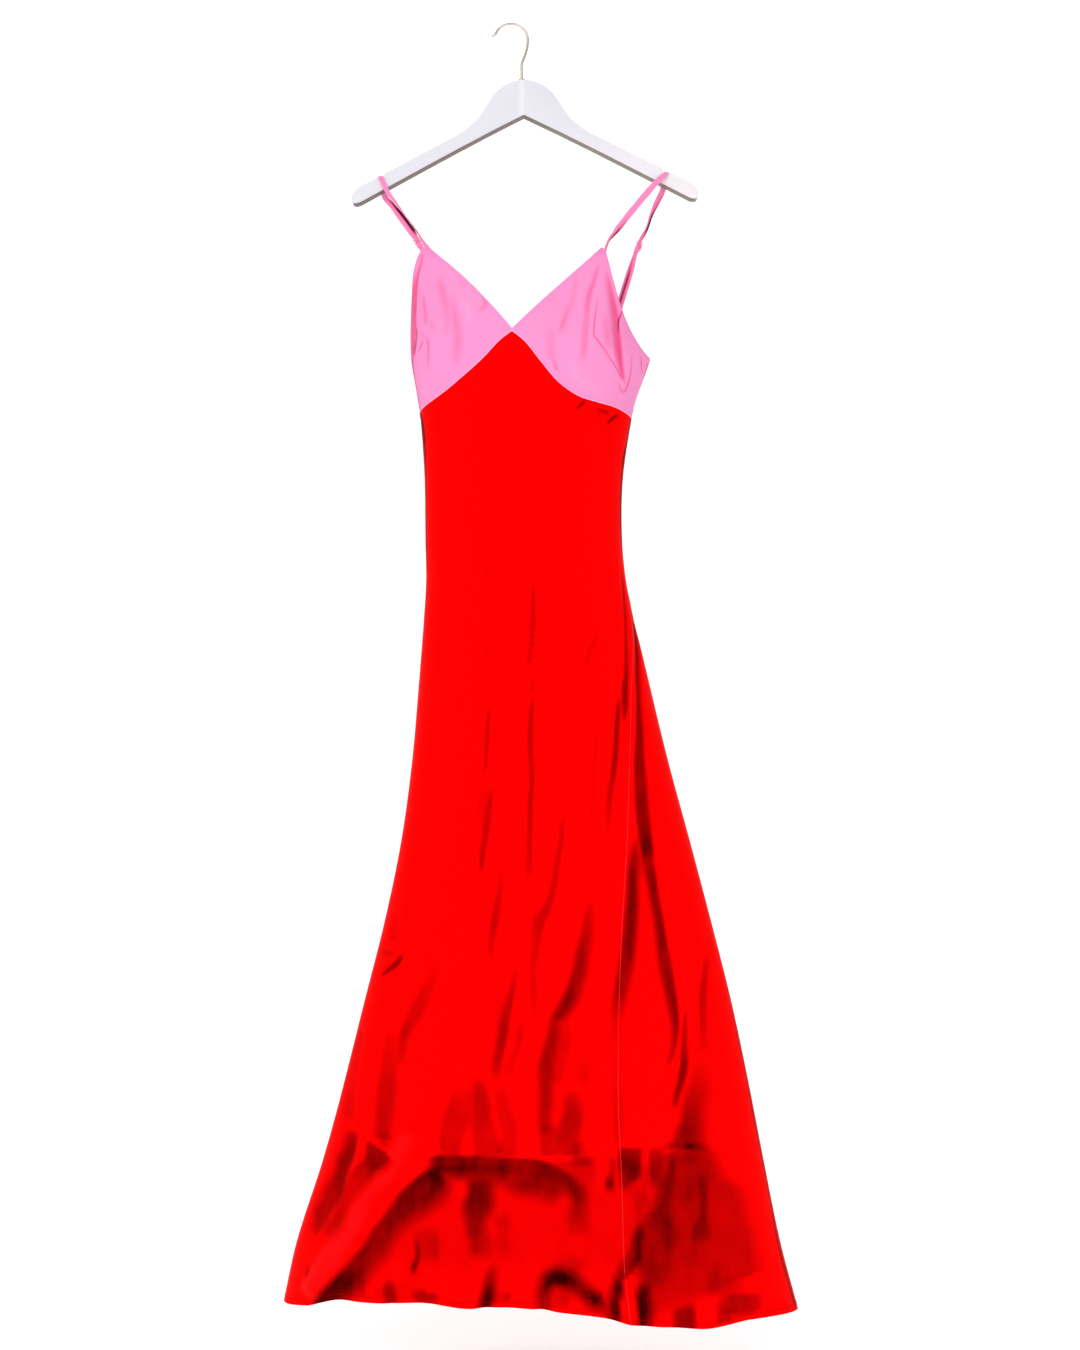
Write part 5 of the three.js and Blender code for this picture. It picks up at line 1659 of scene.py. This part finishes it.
@dataclass
class Hanger:
    """A wooden hanger: two arms joined at a hump, notched for straps, with a wire hook."""

    centre: float = 15.5
    tilt: float = math.radians(-0.8)
    thick: float = 16.0
    bevel: float = 2.4
    hump_top: float = -74.5
    notches: tuple[float, float] = (181.5, -184.0)
    notch_width: float = 8.5
    notch_floor: float = -197.0
    wire: float = 1.7
    stem: float = -2.0
    buried: float = 20.0
    bore: float = 2.0
    # One arm from the hump out to its tip: place across, top and underside.
    stations: str = (
        "0 -74.5 -119.9, 7 -75 -123.4, 14 -76.6 -126.8, 20 -79 -129.8, 26 -82.2 -132.7, 32 -86.3 -135.7, "
        "37 -90.8 -138.2, 42 -97.6 -140.6, 47 -105.6 -143.1, 52 -113.6 -145.6, 57 -121 -148.3, "
        "62 -126.7 -150.8, 67 -130.9 -153.4, 73 -135.4 -156.5, 79 -139.9 -159.5, 86 -144.2 -163.1, "
        "120 -161.6 -180.9, 160 -182.1 -202, 206 -205.6 -226.4, 211 -208.3 -229.1, 215 -211.2 -230.2, "
        "218 -214 -230.4, 220.5 -217.2 -229.2, 222 -221 -226.6"
    )
    # The hook's wire: straight lengths, and bends as degrees, radius and steps.
    hook_way: tuple[tuple[float, ...], ...] = (
        (41.4,), (22, 6.0, 4), (11.0,), (-22, 53.0, 6), (-155, 21.4, 27), (36, 5.0, 5), (2.5,),
    )

    def build(self) -> None:
        """The body, the hook and its collar."""
        body = dress(self.body(), WOOD, "hanger_body")
        # Painted shade on the body's underside.
        self.paint_underside_shade(body)
        dress(self.hook(), WIRE, "hanger_hook")
        dress(self.collar(), WIRE, "hook_collar")

    def seat(self) -> Matrix:
        """From the level hanger to the tilted one."""
        return Matrix.Rotation(self.tilt, 4, "Y")

    def body(self) -> bpy.types.Object:
        """Draws one arm out along its stations, mirrors, bevels, notches and bores it.

        Returns:
            The hanger's wooden body.
        """
        (_, top, low), *rest = rows_of(self.stations)
        bench = Bench("hanger_body", bpy.ops.mesh.primitive_cube_add, size=MM,
                      location=(-0.5 * MM, 0.0, (top + low) / 2 * MM))
        bpy.ops.mesh.select_all(action="SELECT")
        bench.resize(1.0, self.thick, top - low, (0.0, 0.0, (top + low) / 2))
        bench.select(lambda middle, normal: normal.x > 0.9)
        x, height, middle = 0.0, top - low, (top + low) / 2
        for next_x, next_top, next_low in rest:
            next_height, next_middle = next_top - next_low, (next_top + next_low) / 2
            bench.extrude(next_x - x, 0.0, next_middle - middle)
            bench.resize(1.0, 1.0, next_height / height, (next_x, 0.0, next_middle))
            x, height, middle = next_x, next_height, next_middle
        bpy.ops.mesh.select_all(action="SELECT")
        bpy.ops.mesh.bisect(plane_co=(0.0, 0.0, 0.0), plane_no=(1.0, 0.0, 0.0), clear_inner=True)
        bench.closed()
        bench.modify("MIRROR", use_axis=(True, False, False), merge_threshold=0.01 * MM)
        bench.modify("BEVEL", width=self.bevel * MM, segments=3, limit_method="ANGLE",
                     angle_limit=math.radians(50))
        for notch in self.notches:
            bench.cut((self.notch_width, 2 * self.thick, 20.0), (notch, 0.0, self.notch_floor + 10.0))
        bench.cut((self.bore, self.bore, 2 * self.buried + 2), (self.stem, 0.0, self.hump_top), turns=20)
        bench.modify("BEVEL", width=0.4 * MM, segments=2, limit_method="ANGLE",
                     angle_limit=math.radians(60))
        return bench.placed(self.seat() @ Matrix.Translation((self.centre * MM, 0.0, 0.0)))

    def paint_underside_shade(self, body: bpy.types.Object) -> None:
        """Keeps how far each vertex faces down, as shade painted onto the underside."""
        down = np.array([-vertex.normal.z for vertex in body.data.vertices])
        set_painted_shade(body, ease((down - 0.62) / 0.2))

    def hook(self) -> bpy.types.Object:
        """Draws the wire up out of the wood, a little to the right, and round over the rail.

        Returns:
            The hook.
        """
        foot = (self.centre + self.stem, 0.0, self.hump_top - self.buried)
        bench = Bench("hanger_hook", bpy.ops.mesh.primitive_circle_add, vertices=14,
                      radius=self.wire * MM, fill_type="NGON", location=Vector(foot) * MM)
        wire = Wire(bench, foot[0], foot[2])
        for step in self.hook_way:
            if len(step) == 1:
                wire.straight(*step)
            else:
                wire.bend(*step)
        wire.round_end(self.wire)
        bench.closed()
        return bench.placed(self.seat())

    def collar(self) -> bpy.types.Object:
        """Makes a small ring where the wire leaves the wood.

        Returns:
            The collar.
        """
        middle = Vector((self.centre + self.stem, 0.0, self.hump_top + 1.8))
        bench = Bench("hook_collar", bpy.ops.mesh.primitive_cylinder_add, vertices=24,
                      radius=4.0 * MM, depth=3.0 * MM, location=middle * MM)
        bench.select(lambda place, normal: abs(normal.z) > 0.9)
        bpy.ops.mesh.inset(thickness=2.0 * MM, use_individual=True)
        bpy.ops.mesh.bridge_edge_loops()
        bench.closed()
        bench.modify("BEVEL", width=0.5 * MM, segments=3, limit_method="ANGLE")
        return bench.placed(self.seat())


class Wire:
    """A round wire drawn out by extrusions and spins in the plane of the hanger."""

    def __init__(self, bench: Bench, x: float, z: float) -> None:
        """Starts at the selected end, which faces up."""
        self.bench = bench
        self.end = Vector((x, 0.0, z))
        self.turn = 0.0

    def onward(self) -> Vector:
        """The way that the wire's end faces."""
        return Vector((math.sin(self.turn), 0.0, math.cos(self.turn)))

    def straight(self, length: float) -> None:
        """A straight length."""
        self.bench.extrude(*(self.onward() * length))
        self.end += self.onward() * length

    def bend(self, degrees: float, radius: float, steps: int) -> None:
        """A bend to the right, or to the left.

        Args:
            degrees: how far it turns, less than nothing to the left.
            radius: of the wire's middle.
            steps: how many pieces it is made of.
        """
        hand = math.copysign(1.0, degrees)
        across = Vector((math.cos(self.turn), 0.0, -math.sin(self.turn))) * hand
        middle = self.end + across * radius
        self.bench.spin(-degrees, steps, middle, (0.0, 1.0, 0.0))
        self.turn += math.radians(degrees)
        across = Vector((math.cos(self.turn), 0.0, -math.sin(self.turn))) * hand
        self.end = middle - across * radius

    def round_end(self, radius: float) -> None:
        """Rounds the wire's end off."""
        for length, share in ((0.45, 0.9), (0.3, 0.75), (0.15, 0.5)):
            self.straight(length * radius)
            self.bench.resize(share, share, share, self.end)


# ---- Straps, sliders, rings and tabs ----


@dataclass(frozen=True)
class Seat:
    """A place with axes of its own: down along the strap, across it, and out from the body."""

    origin: Array
    down: Array
    across: Array
    out: Array

    @staticmethod
    def between(origin: Array, start: Array, end: Array, turn: float = 0.0) -> "Seat":
        """The seat at a place on the straight way between two others.

        Args:
            origin: the place.
            start: where the way starts.
            end: where it ends.
            turn: degrees that the seat is turned about it.

        Returns:
            The seat.
        """
        down = unit(end - start)
        across = unit(ACROSS - down * (ACROSS @ down))
        out = np.cross(down, across)
        turned = math.radians(turn)
        across = across * math.cos(turned) + out * math.sin(turned)
        return Seat(origin, down, across, np.cross(down, across))

    def step(self, down: float, out: float) -> Array:
        """A place that far down and out from the seat's own."""
        return self.origin + self.down * down + self.out * out

    def matrix(self) -> Matrix:
        """From the seat's own axes to the part's, in metres."""
        turned = Matrix(np.stack([self.across, -self.down, self.out], axis=1).tolist()).to_4x4()
        return Matrix.Translation(Vector(self.origin) * MM) @ turned


ACROSS = np.array([-1.0, 0.0, 0.0])


def unit(way: Array) -> Array:
    """The same way, one long."""
    return way / np.linalg.norm(way)


@dataclass(frozen=True)
class Knot:
    """One place of a ribbon: its middle, the way of its width, and how it lies there.

    roll turns the ribbon about its own line, wide scales its width, and left and right are the
    shade painted along its two long edges.
    """

    place: Array
    across: Array
    roll: float = 0.0
    wide: float = 1.0
    left: float = 0.0
    right: float = 0.0


@dataclass
class Ribbon:
    """A flat strap of turned satin, carried along its knots with rounded corners."""

    width: float = 6.5
    thick: float = 1.0
    round_to: float = 9.0
    lanes: int = 11

    def build(self, name: str, knots: Sequence[Knot]) -> bpy.types.Object:
        """The ribbon as one closed piece.

        Args:
            name: the piece's name.
            knots: where it goes, from one end to the other.

        Returns:
            The piece.
        """
        table = np.array([[*k.place, *k.across, k.roll, k.wide, k.left, k.right] for k in knots])
        table = self._rounded(table)
        route = table[:, :3]
        wide, face = axes_along(route, table[:, 3:6])
        roll = np.radians(table[:, 6])[:, None]
        wide, face = wide * np.cos(roll) + face * np.sin(roll), face * np.cos(roll) - wide * np.sin(roll)
        outline, lane = self._outline()
        gone = distances(route)
        waver = 1.0 + 0.035 * np.sin(gone / 5.3) + 0.02 * np.sin(gone / 2.1 + 1.0)
        scale = (table[:, 7] * waver)[:, None, None]
        rings = route[:, None] + wide[:, None] * outline[None, :, :1] * scale
        rings = rings + face[:, None] * outline[None, :, 1:]
        piece = tube_of(name, rings)
        # The knots' edge darkness is painted shade along the ribbon's two long edges.
        edge = [ease(0.3 - lane / 0.5), ease(0.3 + lane / 0.5)]
        set_painted_shade(piece, table[:, 8:9] * edge[0] + table[:, 9:10] * edge[1])
        cut = np.stack([np.broadcast_to(lane * self.width / 2, rings.shape[:2]),
                        np.broadcast_to(gone[:, None], rings.shape[:2])], axis=-1)
        set_cut(piece, cut)
        return piece

    def _outline(self) -> tuple[Array, Array]:
        """The ribbon's section.

        Returns:
            Its places, and how far across each one lies, from -1 to 1.
        """
        lane = np.linspace(-1.0, 1.0, self.lanes)
        half = self.width / 2
        swell = self.thick / 2 * np.sqrt(np.maximum(1.0 - np.abs(lane) ** 5, 0.02))
        top = np.stack([lane * half, swell], axis=-1)
        low = np.stack([lane[::-1] * half, -swell[::-1]], axis=-1)
        return np.vstack([top, low])[::-1], np.concatenate([lane, lane[::-1]])[::-1]

    def _rounded(self, table: Array) -> Array:
        """The knots with each corner rounded by places of its own.

        Args:
            table: one row of numbers for each knot.

        Returns:
            The longer table.
        """
        rows = [table[0]]
        for before, here, after in zip(table, table[1:], table[2:]):
            lengths = [np.linalg.norm(other[:3] - here[:3]) for other in (before, after)]
            start, end = (here + (other - here) * min(self.round_to / length, 0.47)
                          for other, length in zip((before, after), lengths))
            steps = 6 if min(lengths) > 4.0 else 3
            for t in np.linspace(0.0, 1.0, steps):
                rows.append(start * (1 - t) ** 2 + here * (2 * t * (1 - t)) + end * t**2)
        return np.array([*rows, table[-1]])


# Painted shade along a strand's edges, where the strap's underside is in shadow.
STRAND_SHADE = 0.9


@dataclass
class Strap:
    """One strap: from the cup's tip over the hanger, through its slider to the back's ring."""

    side: Side
    front: tuple[tuple[float, ...], ...]  # x, y, z, roll, wide, and the painted shade of the left and right edges, from the cup up
    rear: tuple[tuple[float, ...], ...]  # the same from the hanger down to the slider
    slider: Colour
    turn: float
    ribbon: Ribbon = field(default_factory=Ribbon)

    BACK_ANGLE = 27.3
    BAR, SLOT, INSIDE, FRAME = 1.2, 4.4, 7.4, 1.2
    RING, WIRE = 4.8, 0.8
    RING_ABOVE, RING_TURN, APART = 8.0, 3.1, 14.0
    TAB_OVERLAP = 6.0

    def build(self) -> None:
        """The strap, its slider, its ring and the tab that holds the ring."""
        word = self.side.word
        ring = self.ring_seat()
        above = np.array(self.rear[-1][:3])
        held = Seat.between(np.array(self.slider), above, ring.origin, self.turn)
        strap = dress(self.ribbon.build("strap_" + word, self.route(held, ring)), STRAP_PINK,
                      "strap_" + word)
        tab = dress(self.ribbon.build("tab_" + word, self.tab_route(ring)), STRAP_PINK, "tab_" + word)
        dress(self.make_ring(ring), TRIM, "ring_" + word)
        dress(self.make_slider(held), TRIM, "slider_" + word)

    def route(self, held: Seat, ring: Seat) -> list[Knot]:
        """The whole way of the strap, from the cup's tip to its sewn end at the slider.

        Args:
            held: the slider's seat.
            ring: the ring's.

        Returns:
            Its knots.
        """
        bar = self.FRAME / 2 + SEAM_GAP + self.ribbon.thick / 2
        under = bar + self.ribbon.thick + SEAM_GAP
        pitch = self.BAR + self.SLOT
        wire = self.off_wire()
        threaded = ((-pitch - 1, -bar), (-pitch + 1, -bar), (-1, bar), (1, bar), (pitch - 1, -bar),
                    (pitch + 1, -bar))
        sewn_end = ((pitch + 1, -under), (pitch - 1, -under), (1, -bar - 0.2), (-0.5, -bar - 0.2))
        knots = [Knot(np.array(row[:3]), ACROSS, *row[3:]) for row in self.front]
        knots += [Knot(place, ACROSS) for place in self.over_arm()]
        knots += [Knot(np.array(row[:3]), ACROSS, *row[3:]) for row in self.rear]
        knots += [Knot(held.step(*step), held.across) for step in threaded]
        knots += self.strand(knots[-1].place, ring.step(-self.APART, wire), 1.6, STRAND_SHADE)
        # Full painted shade along the edges beside the ring.
        knots.append(Knot(ring.step(-self.APART, wire), ring.across, left=1.0))
        knots += [Knot(place, ring.across) for place in self.ring_turn(ring, 1)]
        knots.append(Knot(ring.step(-self.APART, -wire), ring.across, right=1.0))
        ends = [Knot(held.step(*step), held.across) for step in sewn_end]
        knots += self.strand(knots[-1].place, ends[0].place, -2.2, 0.0)
        return knots + ends

    @staticmethod
    def strand(start: Array, end: Array, aside: float, dark: float) -> list[Knot]:
        """The way between two places.

        Args:
            start: the one place.
            end: the other.
            aside: how far the way is moved aside.
            dark: the painted shade along its left edge; the right edge has the rest of the strand's painted
                shade.

        Returns:
            Its knots, without the two places.
        """
        way = end - start
        return [Knot(start + way * share + ACROSS * aside, ACROSS, left=dark, right=STRAND_SHADE - dark)
                for share in (0.2, 0.5, 0.8)]

    def tab_route(self, ring: Seat) -> list[Knot]:
        """The tab's way from the outside of the back, through the ring, to its inside.

        Args:
            ring: the ring's seat.

        Returns:
            Its knots.
        """
        wire = self.off_wire()
        reach = self.RING_ABOVE + self.TAB_OVERLAP
        places = [ring.step(reach, wire), *self.ring_turn(ring, -1), ring.step(reach, -wire)]
        return [Knot(place, ring.across) for place in places]

    def off_wire(self) -> float:
        """From the middle of the ring's wire to the ribbon's."""
        return self.WIRE + SEAM_GAP + self.ribbon.thick / 2 + 0.2

    def over_arm(self) -> list[Array]:
        """The way over the hanger's arm.

        Returns:
            Its places, round the two top edges of the arm's notch.
        """
        hanger = Hanger()
        turn = SEAM_GAP + self.ribbon.thick / 2 + SEAM_GAP / 2
        x = hanger.centre + hanger.notches[0 if self.side is Side.RIGHT else 1]
        places = []
        for edge, turns in ((-hanger.thick / 2, (0, 45, 90)), (hanger.thick / 2, (90, 135, 180))):
            for degrees in turns:
                turned = math.radians(degrees)
                y, z = edge - turn * math.cos(turned), hanger.notch_floor + turn * math.sin(turned)
                tilted = hanger.seat() @ Vector((x, y, z))
                places.append(np.array(tilted))
        return places

    def ring_seat(self) -> Seat:
        """The seat of the ring.

        Returns:
            The seat, above the top edge of the back bodice and in line with the slider.
        """
        angle = CENTRE_FRONT + 180 + self.side.value * self.BACK_ANGLE
        level = math.cos(math.radians(self.BACK_ANGLE))
        edge = BACK_TOP_SIDE + (BACK_TOP_CENTRE - BACK_TOP_SIDE) * level
        foot = section_place(SECTIONS, angle, edge)
        out = section_place(SECTIONS, angle, edge, 1.0) - foot
        down = foot - np.array(self.slider)
        down = unit(down - out * (down @ out))
        return Seat(foot - down * self.RING_ABOVE, down, np.cross(out, down), out)

    def ring_turn(self, ring: Seat, hand: float) -> list[Array]:
        """A ribbon's turn round the ring's wire, from its outer strand to its inner one.

        Args:
            ring: the ring's seat.
            hand: 1 for the strap above the ring's middle, -1 for the tab below it.

        Returns:
            Its places.
        """
        wire = self.off_wire()
        turns = [math.radians(degrees) for degrees in range(0, 181, 30)]
        return [ring.step(hand * (wire * math.sin(t) - self.RING_TURN), wire * math.cos(t))
                for t in turns]

    def make_ring(self, seat: Seat) -> bpy.types.Object:
        """Makes the ring, a small circle spun all the way round.

        Args:
            seat: where it lies on the back.

        Returns:
            The ring.
        """
        bench = Bench("ring_" + self.side.word, bpy.ops.mesh.primitive_circle_add, vertices=12,
                      radius=self.WIRE * MM, location=(self.RING * MM, 0.0, 0.0),
                      rotation=(math.pi / 2, 0.0, 0.0))
        bpy.ops.mesh.select_all(action="SELECT")
        bench.spin(360.0, 36, (0.0, 0.0, 0.0), (0.0, 0.0, 1.0))
        return bench.closed().placed(seat.matrix())

    def make_slider(self, seat: Seat) -> bpy.types.Object:
        """Makes the slider, a plate with two slots and soft edges.

        Args:
            seat: where it lies on the strap.

        Returns:
            The slider.
        """
        high = 3 * self.BAR + 2 * self.SLOT
        bench = Bench("slider_" + self.side.word, bpy.ops.mesh.primitive_cube_add, size=MM)
        bpy.ops.mesh.select_all(action="SELECT")
        bench.resize(self.INSIDE + 2 * self.BAR, high, self.FRAME, (0.0, 0.0, 0.0))
        bench.closed()
        bench.modify("BEVEL", width=1.2 * MM, segments=4, affect="EDGES", limit_method="ANGLE")
        for hand in (1, -1):
            middle = hand * (self.BAR + self.SLOT) / 2
            bench.cut((self.INSIDE, self.SLOT, 3 * self.FRAME), (0.0, middle, 0.0))
        bench.modify("BEVEL", width=0.3 * MM, segments=2, limit_method="ANGLE",
                     angle_limit=math.radians(50))
        return bench.placed(seat.matrix())


# ---- Studio ----


@dataclass
class Studio:
    """A pale sweep, soft lights and the camera, level with the middle of the dress."""

    low: Vector
    high: Vector
    eye: Colour = (0.0379, -1.95, -0.8365)
    lens: float = 40.467
    wall: Colour = (0.0, 3.0, -1.5)
    grey: Colour = (0.92, 0.92, 0.92)
    pale: Colour = (0.95, 0.95, 0.95)
    glow: float = 0.12
    world: float = 0.6
    drop: float = 0.09

    def build(self) -> None:
        """Makes the floor, the lights, the world and the camera."""
        self.add_sweep()
        self.add_world()
        middle = (self.low + self.high) / 2
        for name, place, target, size, power in (
            ("key", (-1.1, -2.3, 0.1), middle, 1.6, 22.5),
            ("fill", (1.2, -2.2, -0.9), middle, 1.6, 9.0),
            ("back", (0.4, 2.2, 0.3), middle, 1.6, 10.0),
            ("wall", (0.0, 1.0, 3.0), Vector(self.wall), 3.0, 74.0),
        ):
            self.add_light(name, place, target, size, power)
        self.add_camera()

    def add_sweep(self) -> None:
        """A pale floor that curves up into a backdrop."""
        radius, reach, wide = 1.2, 3.4, 14.0
        floor = self.low.z - self.drop
        turn = np.linspace(-np.pi / 2, 0.0, 24)
        bend = [(reach - radius + radius * math.cos(t), floor + radius + radius * math.sin(t))
                for t in turn]
        line = [(-wide / 2, floor), *bend, (reach, floor + wide / 2)]
        places = [(x, y, z) for y, z in line for x in (-wide / 2, wide / 2)]
        faces = [(2 * i, 2 * i + 1, 2 * i + 3, 2 * i + 2) for i in range(len(line) - 1)]
        sweep = new_piece("floor_sweep", np.array(places) / MM, faces)
        shader = Shader("pale_floor")
        fine = shader.noise(shader.place((40.0, 40.0, 40.0)), 2.0)
        shader.principled({
            "Base Color": shader.mixed(fine, self.grey, self.pale),
            "Roughness": 0.9,
            "Specular IOR Level": 0.0,
            "Emission Color": (1.0, 1.0, 1.0, 1.0),
            "Emission Strength": self.glow,
        })
        sweep.data.materials.append(shader.material)
        sweep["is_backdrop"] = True

    def add_world(self) -> None:
        """Even white light from all round."""
        world = bpy.data.worlds.new("studio")
        world.use_nodes = True
        background = world.node_tree.nodes["Background"]
        background.inputs["Color"].default_value = (1.0, 1.0, 1.0, 1.0)
        background.inputs["Strength"].default_value = self.world
        bpy.context.scene.world = world

    def add_light(self, name: str, place: Colour, target: Vector, size: float, power: float) -> None:
        """A soft square light.

        Args:
            name: its name.
            place: where it stands.
            target: what it faces.
            size: of its side.
            power: in watts.
        """
        lamp = bpy.data.lights.new(name, "AREA")
        lamp.size = size
        lamp.energy = power
        light = bpy.data.objects.new(name, lamp)
        light.visible_camera = False
        light.location = place
        light.rotation_euler = (target - light.location).to_track_quat("-Z", "Y").to_euler()
        bpy.context.scene.collection.objects.link(light)

    def add_camera(self) -> None:
        """A level camera in front of the dress."""
        camera = bpy.data.cameras.new("camera")
        camera.lens = self.lens
        view = bpy.data.objects.new("camera", camera)
        view.location = self.eye
        view.rotation_euler = (math.pi / 2, 0.0, 0.0)
        bpy.context.scene.collection.objects.link(view)
        bpy.context.scene.camera = view
        bpy.context.scene.view_settings.view_transform = "Standard"


CUPS = (
    Cup(Side.RIGHT, CupEdge(neck=(0, -411), bow=3, apex=(44.4, -302.6), corner=(46.3, -304),
                            handles=((52.5, -366), (56, -434)), under=(90, -432))),
    Cup(Side.LEFT, CupEdge(neck=(0, -411), bow=11, apex=(45, -297), corner=(48.2, -297),
                           handles=((70, -326), (73, -422)), under=(90, -432))),
)
STRAPS = (
    Strap(
        Side.RIGHT,
        front=(
            (118.4, -66, -311, 25, 0.6), (120, -64, -305, 55, 0.7, 0.2), (123.6, -59, -294, 72, 0.8, 0.8),
            (129.2, -54, -286.5, 62, 0.9, 1.0), (135, -50, -278, 26, 1.1, 0.9),
            (140, -46, -271, 8, 1.2, 0.5), (149, -40, -258, 0, 1.3), (165.8, -29, -235.1, 0, 1.35),
            (184, -17, -211, 0, 1.3),
        ),
        rear=(
            (196.5, 10, -212, 0, 1.25), (190.3, 12, -223, 12, 1.15, 0.3), (184.8, 14, -234.6, 24, 1.0, 0.8),
            (180.9, 14, -244, 42, 0.95, 1.0), (178.1, 14, -254, 54, 0.9, 1.0, 0.3),
            (174.6, 15, -262.5, 42, 0.9, 1.0, 0.2),
        ),
        slider=(166.0, 22.0, -280.0),
        turn=38.0,
    ),
    Strap(
        Side.LEFT,
        front=(
            (-101, -62, -307, 0, 1.0), (-103.4, -60, -302.6, 20, 1.0), (-108.4, -56, -294.2, 48, 0.95),
            (-114.6, -50, -283.5, 57, 0.95, 0.0, 0.9), (-122, -43, -271.4, 60, 0.95, 0.0, 0.9),
            (-130.6, -37, -259.5, 58, 0.95), (-138.6, -30, -247, 48, 0.95), (-146.8, -24, -235, 30, 0.95),
            (-157.6, -16, -219.6, 10, 0.95),
        ),
        rear=(
            (-163.6, 12, -219, 0, 1.1), (-155, 13, -227, 0, 1.2, 0.9), (-147.6, 14, -236.5, 0, 1.3, 1.0),
            (-140, 16, -246, 0, 1.45, 1.0), (-132.8, 18, -255.6, 0, 1.5, 1.0),
            (-127, 19, -263.5, 0, 1.5, 1.0),
        ),
        slider=(-120.0, 21.0, -275.0),
        turn=0.0,
    ),
)


def main() -> None:
    """Builds the dress, its hanger and the studio."""
    logging.basicConfig(level=logging.INFO, format="%(name)s: %(message)s")
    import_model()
    low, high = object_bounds()
    Studio(low, high).build()
    Hanger().build()
    for cup, strap in zip(CUPS, STRAPS):
        cup.build()
        strap.build()
    BackBodice().build()
    SkirtPanel(Panel.FRONT, (0.72, 1.24)).build()
    SkirtPanel(Panel.BACK, (0.73, 1.14)).build()
    LiningPanel(Panel.FRONT, (0.44, 1.02)).build()
    LiningPanel(Panel.BACK, (0.44, 0.93)).build()
    low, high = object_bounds()


if __name__ == "__main__":
    main()
